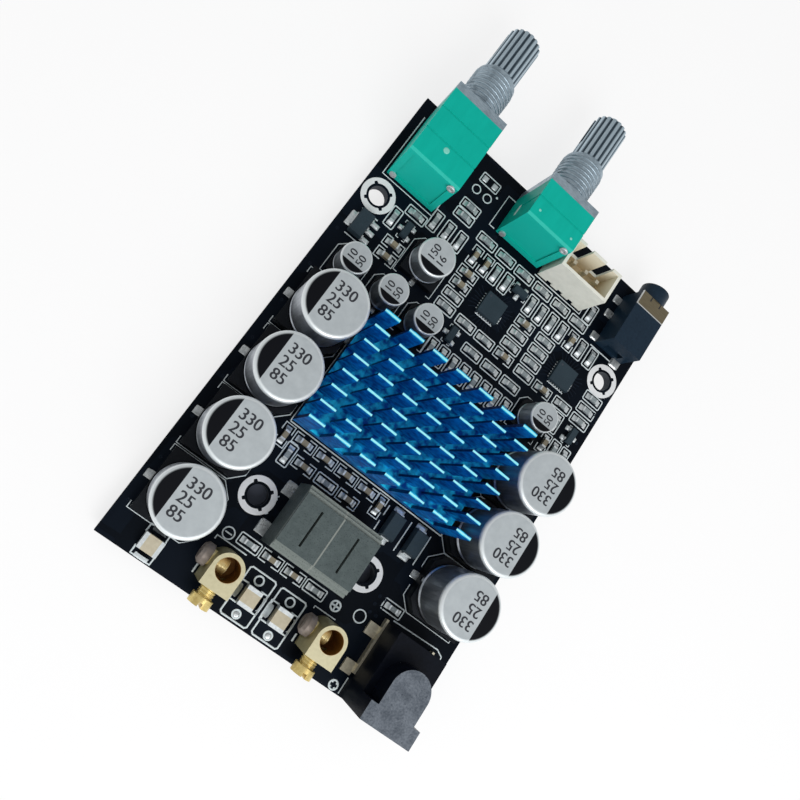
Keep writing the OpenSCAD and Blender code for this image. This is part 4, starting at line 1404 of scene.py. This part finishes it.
NECK_L = 1.3
TIP_THREAD = 0.5
for side in ("negative", "positive"):
    low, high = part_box(side + "_front_screw")
    neck = Vector(((low.x + high.x) / 2, low.y + (SCREW_HEAD_T + 0.15) * MM, (low.z + high.z) / 2))
    crest_on(side + "_neck_thread", gold, "screw_brass", side + "_front_screw", neck,
             NECK_L, 1.2, 0.11, 0.42, ALONG_Y)
    low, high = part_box(side + "_side_screw")
    tip = Vector((high.x - (TIP_THREAD + 0.1) * MM, (low.y + high.y) / 2, (low.z + high.z) / 2))
    crest_on(side + "_tip_thread", tip_gold, "screw_steel", side + "_side_screw", tip,
             TIP_THREAD, 1.17, 0.09, 0.28, ALONG_X)

# %% [markdown]
# The controls' sections are held by two rivets, whose rolled ends show at the rear as rings with a
# dimple. The mould also left a pale gate mark on the volume control's top, two ejector marks on the
# tone control's top and a pale bar on its left side. Each square chip has a small dimple beside its
# first pin.

# %% Rivets, gate marks and dimples
rivets = []
for name in ("volume_terminals", "tone_terminals"):
    for low, high in bodies_of(name):
        if low.z > TOP + 0.5 * MM:
            spot = (low + high) / 2
            place = Vector((spot.x, low.y + 0.05 * MM, spot.z))
            rivets.append((place, 0.0, mm(0.72, 0.16, 0.72)))
spread("control_rivets", rivets, "rivet", tinned, "tinned")

gate_pale = moulding("gate_mark_green", tint(96, 196, 178), tint(150, 218, 204), 3.0, 0.4, 0.01, 0.35)
volume_low, volume_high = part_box("volume_body")
tone_low, tone_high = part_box("tone_body")
gate = Vector((volume_low.x + 4.5 * MM, volume_low.y + 3.4 * MM, volume_high.z))
gates = [(gate, 0.0, mm(0.5, 0.5, 0.06))]
for x in (1.4, 8.1):
    place = Vector((tone_low.x + x * MM, tone_low.y + 1.6 * MM, tone_high.z))
    gates.append((place, 0.0, mm(0.22, 0.22, 0.04)))
spread("gate_marks", gates, "dome", gate_pale, "pot_green")

side_pale = moulding("side_mark_pale", tint(196, 224, 214), tint(232, 244, 240), 3.0, 0.4, 0.01, 0.35)
bar = on_board(0, 77.9, 4.0)
bar.x = tone_low.x
FACING_LEFT = -math.pi / 2
spread("side_mark", [(bar, FACING_LEFT, mm(2.2, 0.06, 0.75))], "bar", side_pale, "pot_green")

dots = []
for name in ("preamp_chip", "filter_chip"):
    low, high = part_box(name)
    place = Vector((low.x + 0.6 * MM, high.y - 0.6 * MM, high.z))
    dots.append((place, 0.0, mm(0.22, 0.22, 0.025)))
chip_mark = moulding("chip_dimple", tint(44, 50, 58), tint(66, 73, 82), 5.0, 0.4, 0.01)
spread("chip_dimples", dots, "button", chip_mark, "chip_black")

# %% [markdown]
# The cans carry plain figures on their tops, beside the black field. The numerals are drawn once as
# text curves in a tree, filled, and copied to the cans. They start at the field's edge and read away
# from it. Each is struck twice, a hair apart, because a stamp prints thicker lines than the font has.

# %% Numerals on the cans
numerals = Former("can_numerals")
figures = numerals.input("Figures", "NodeSocketString")
letter = numerals.input("Letter Height", "NodeSocketFloat")
words = {"String": figures, "Size": letter, "Line Spacing": 0.92}
typed = numerals.add("GeometryNodeStringToCurves", {"align_x": "LEFT", "align_y": "MIDDLE"}, words)
outlines = numerals.add("GeometryNodeRealizeInstances", {}, {"Geometry": typed})
filled = numerals.add("GeometryNodeFillCurve", {}, {"Curve": outlines})
numerals.close(numerals.on_points(filled))

print_black = moulding("can_print", tint(36, 38, 43), tint(60, 62, 68), 6.0, 0.5, 0.005)


INK_LIFT = 0.012 * MM
SECOND_STRIKE = 0.04


def number_cans(name, prefix, figures, letter_mm, margin_mm):
    """Figures on all cans of one kind; their height and their gap to the field are in millimetres."""
    marks_here = []
    for can, toward in can_fields.items():
        if can.startswith(prefix):
            low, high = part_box(can)
            outward = Vector((*toward, 0))
            start = (high.x - low.x) / 2 * FIELD_SHARE - margin_mm * MM
            place = middle(low, high, high.z + INK_LIFT) + outward * start
            for strike in (0.0, SECOND_STRIKE):
                spot = place - outward * strike * letter_mm * MM + Vector((0, 0, strike * 0.05 * MM))
                marks_here.append((spot, math.atan2(-toward[1], -toward[0]), (1, 1, 1)))
    form(name, points(marks_here), numerals, print_black, "can_metal",
         Figures=figures, Letter_Height=letter_mm * MM)


number_cans("bulk_can_numerals", "bulk", "330\n25\n85", 2.35, 0.55)
number_cans("small_can_numerals", "small", "10\n50", 1.75, 0.15)
number_cans("input_can_numerals", "input", "150\n16", 1.85, 0.25)

# %% [markdown]
# The shapes that the trees copied are no longer needed and leave the scene.

# %% Finish
for shape_object in shapes.values():
    bpy.data.objects.remove(shape_object)
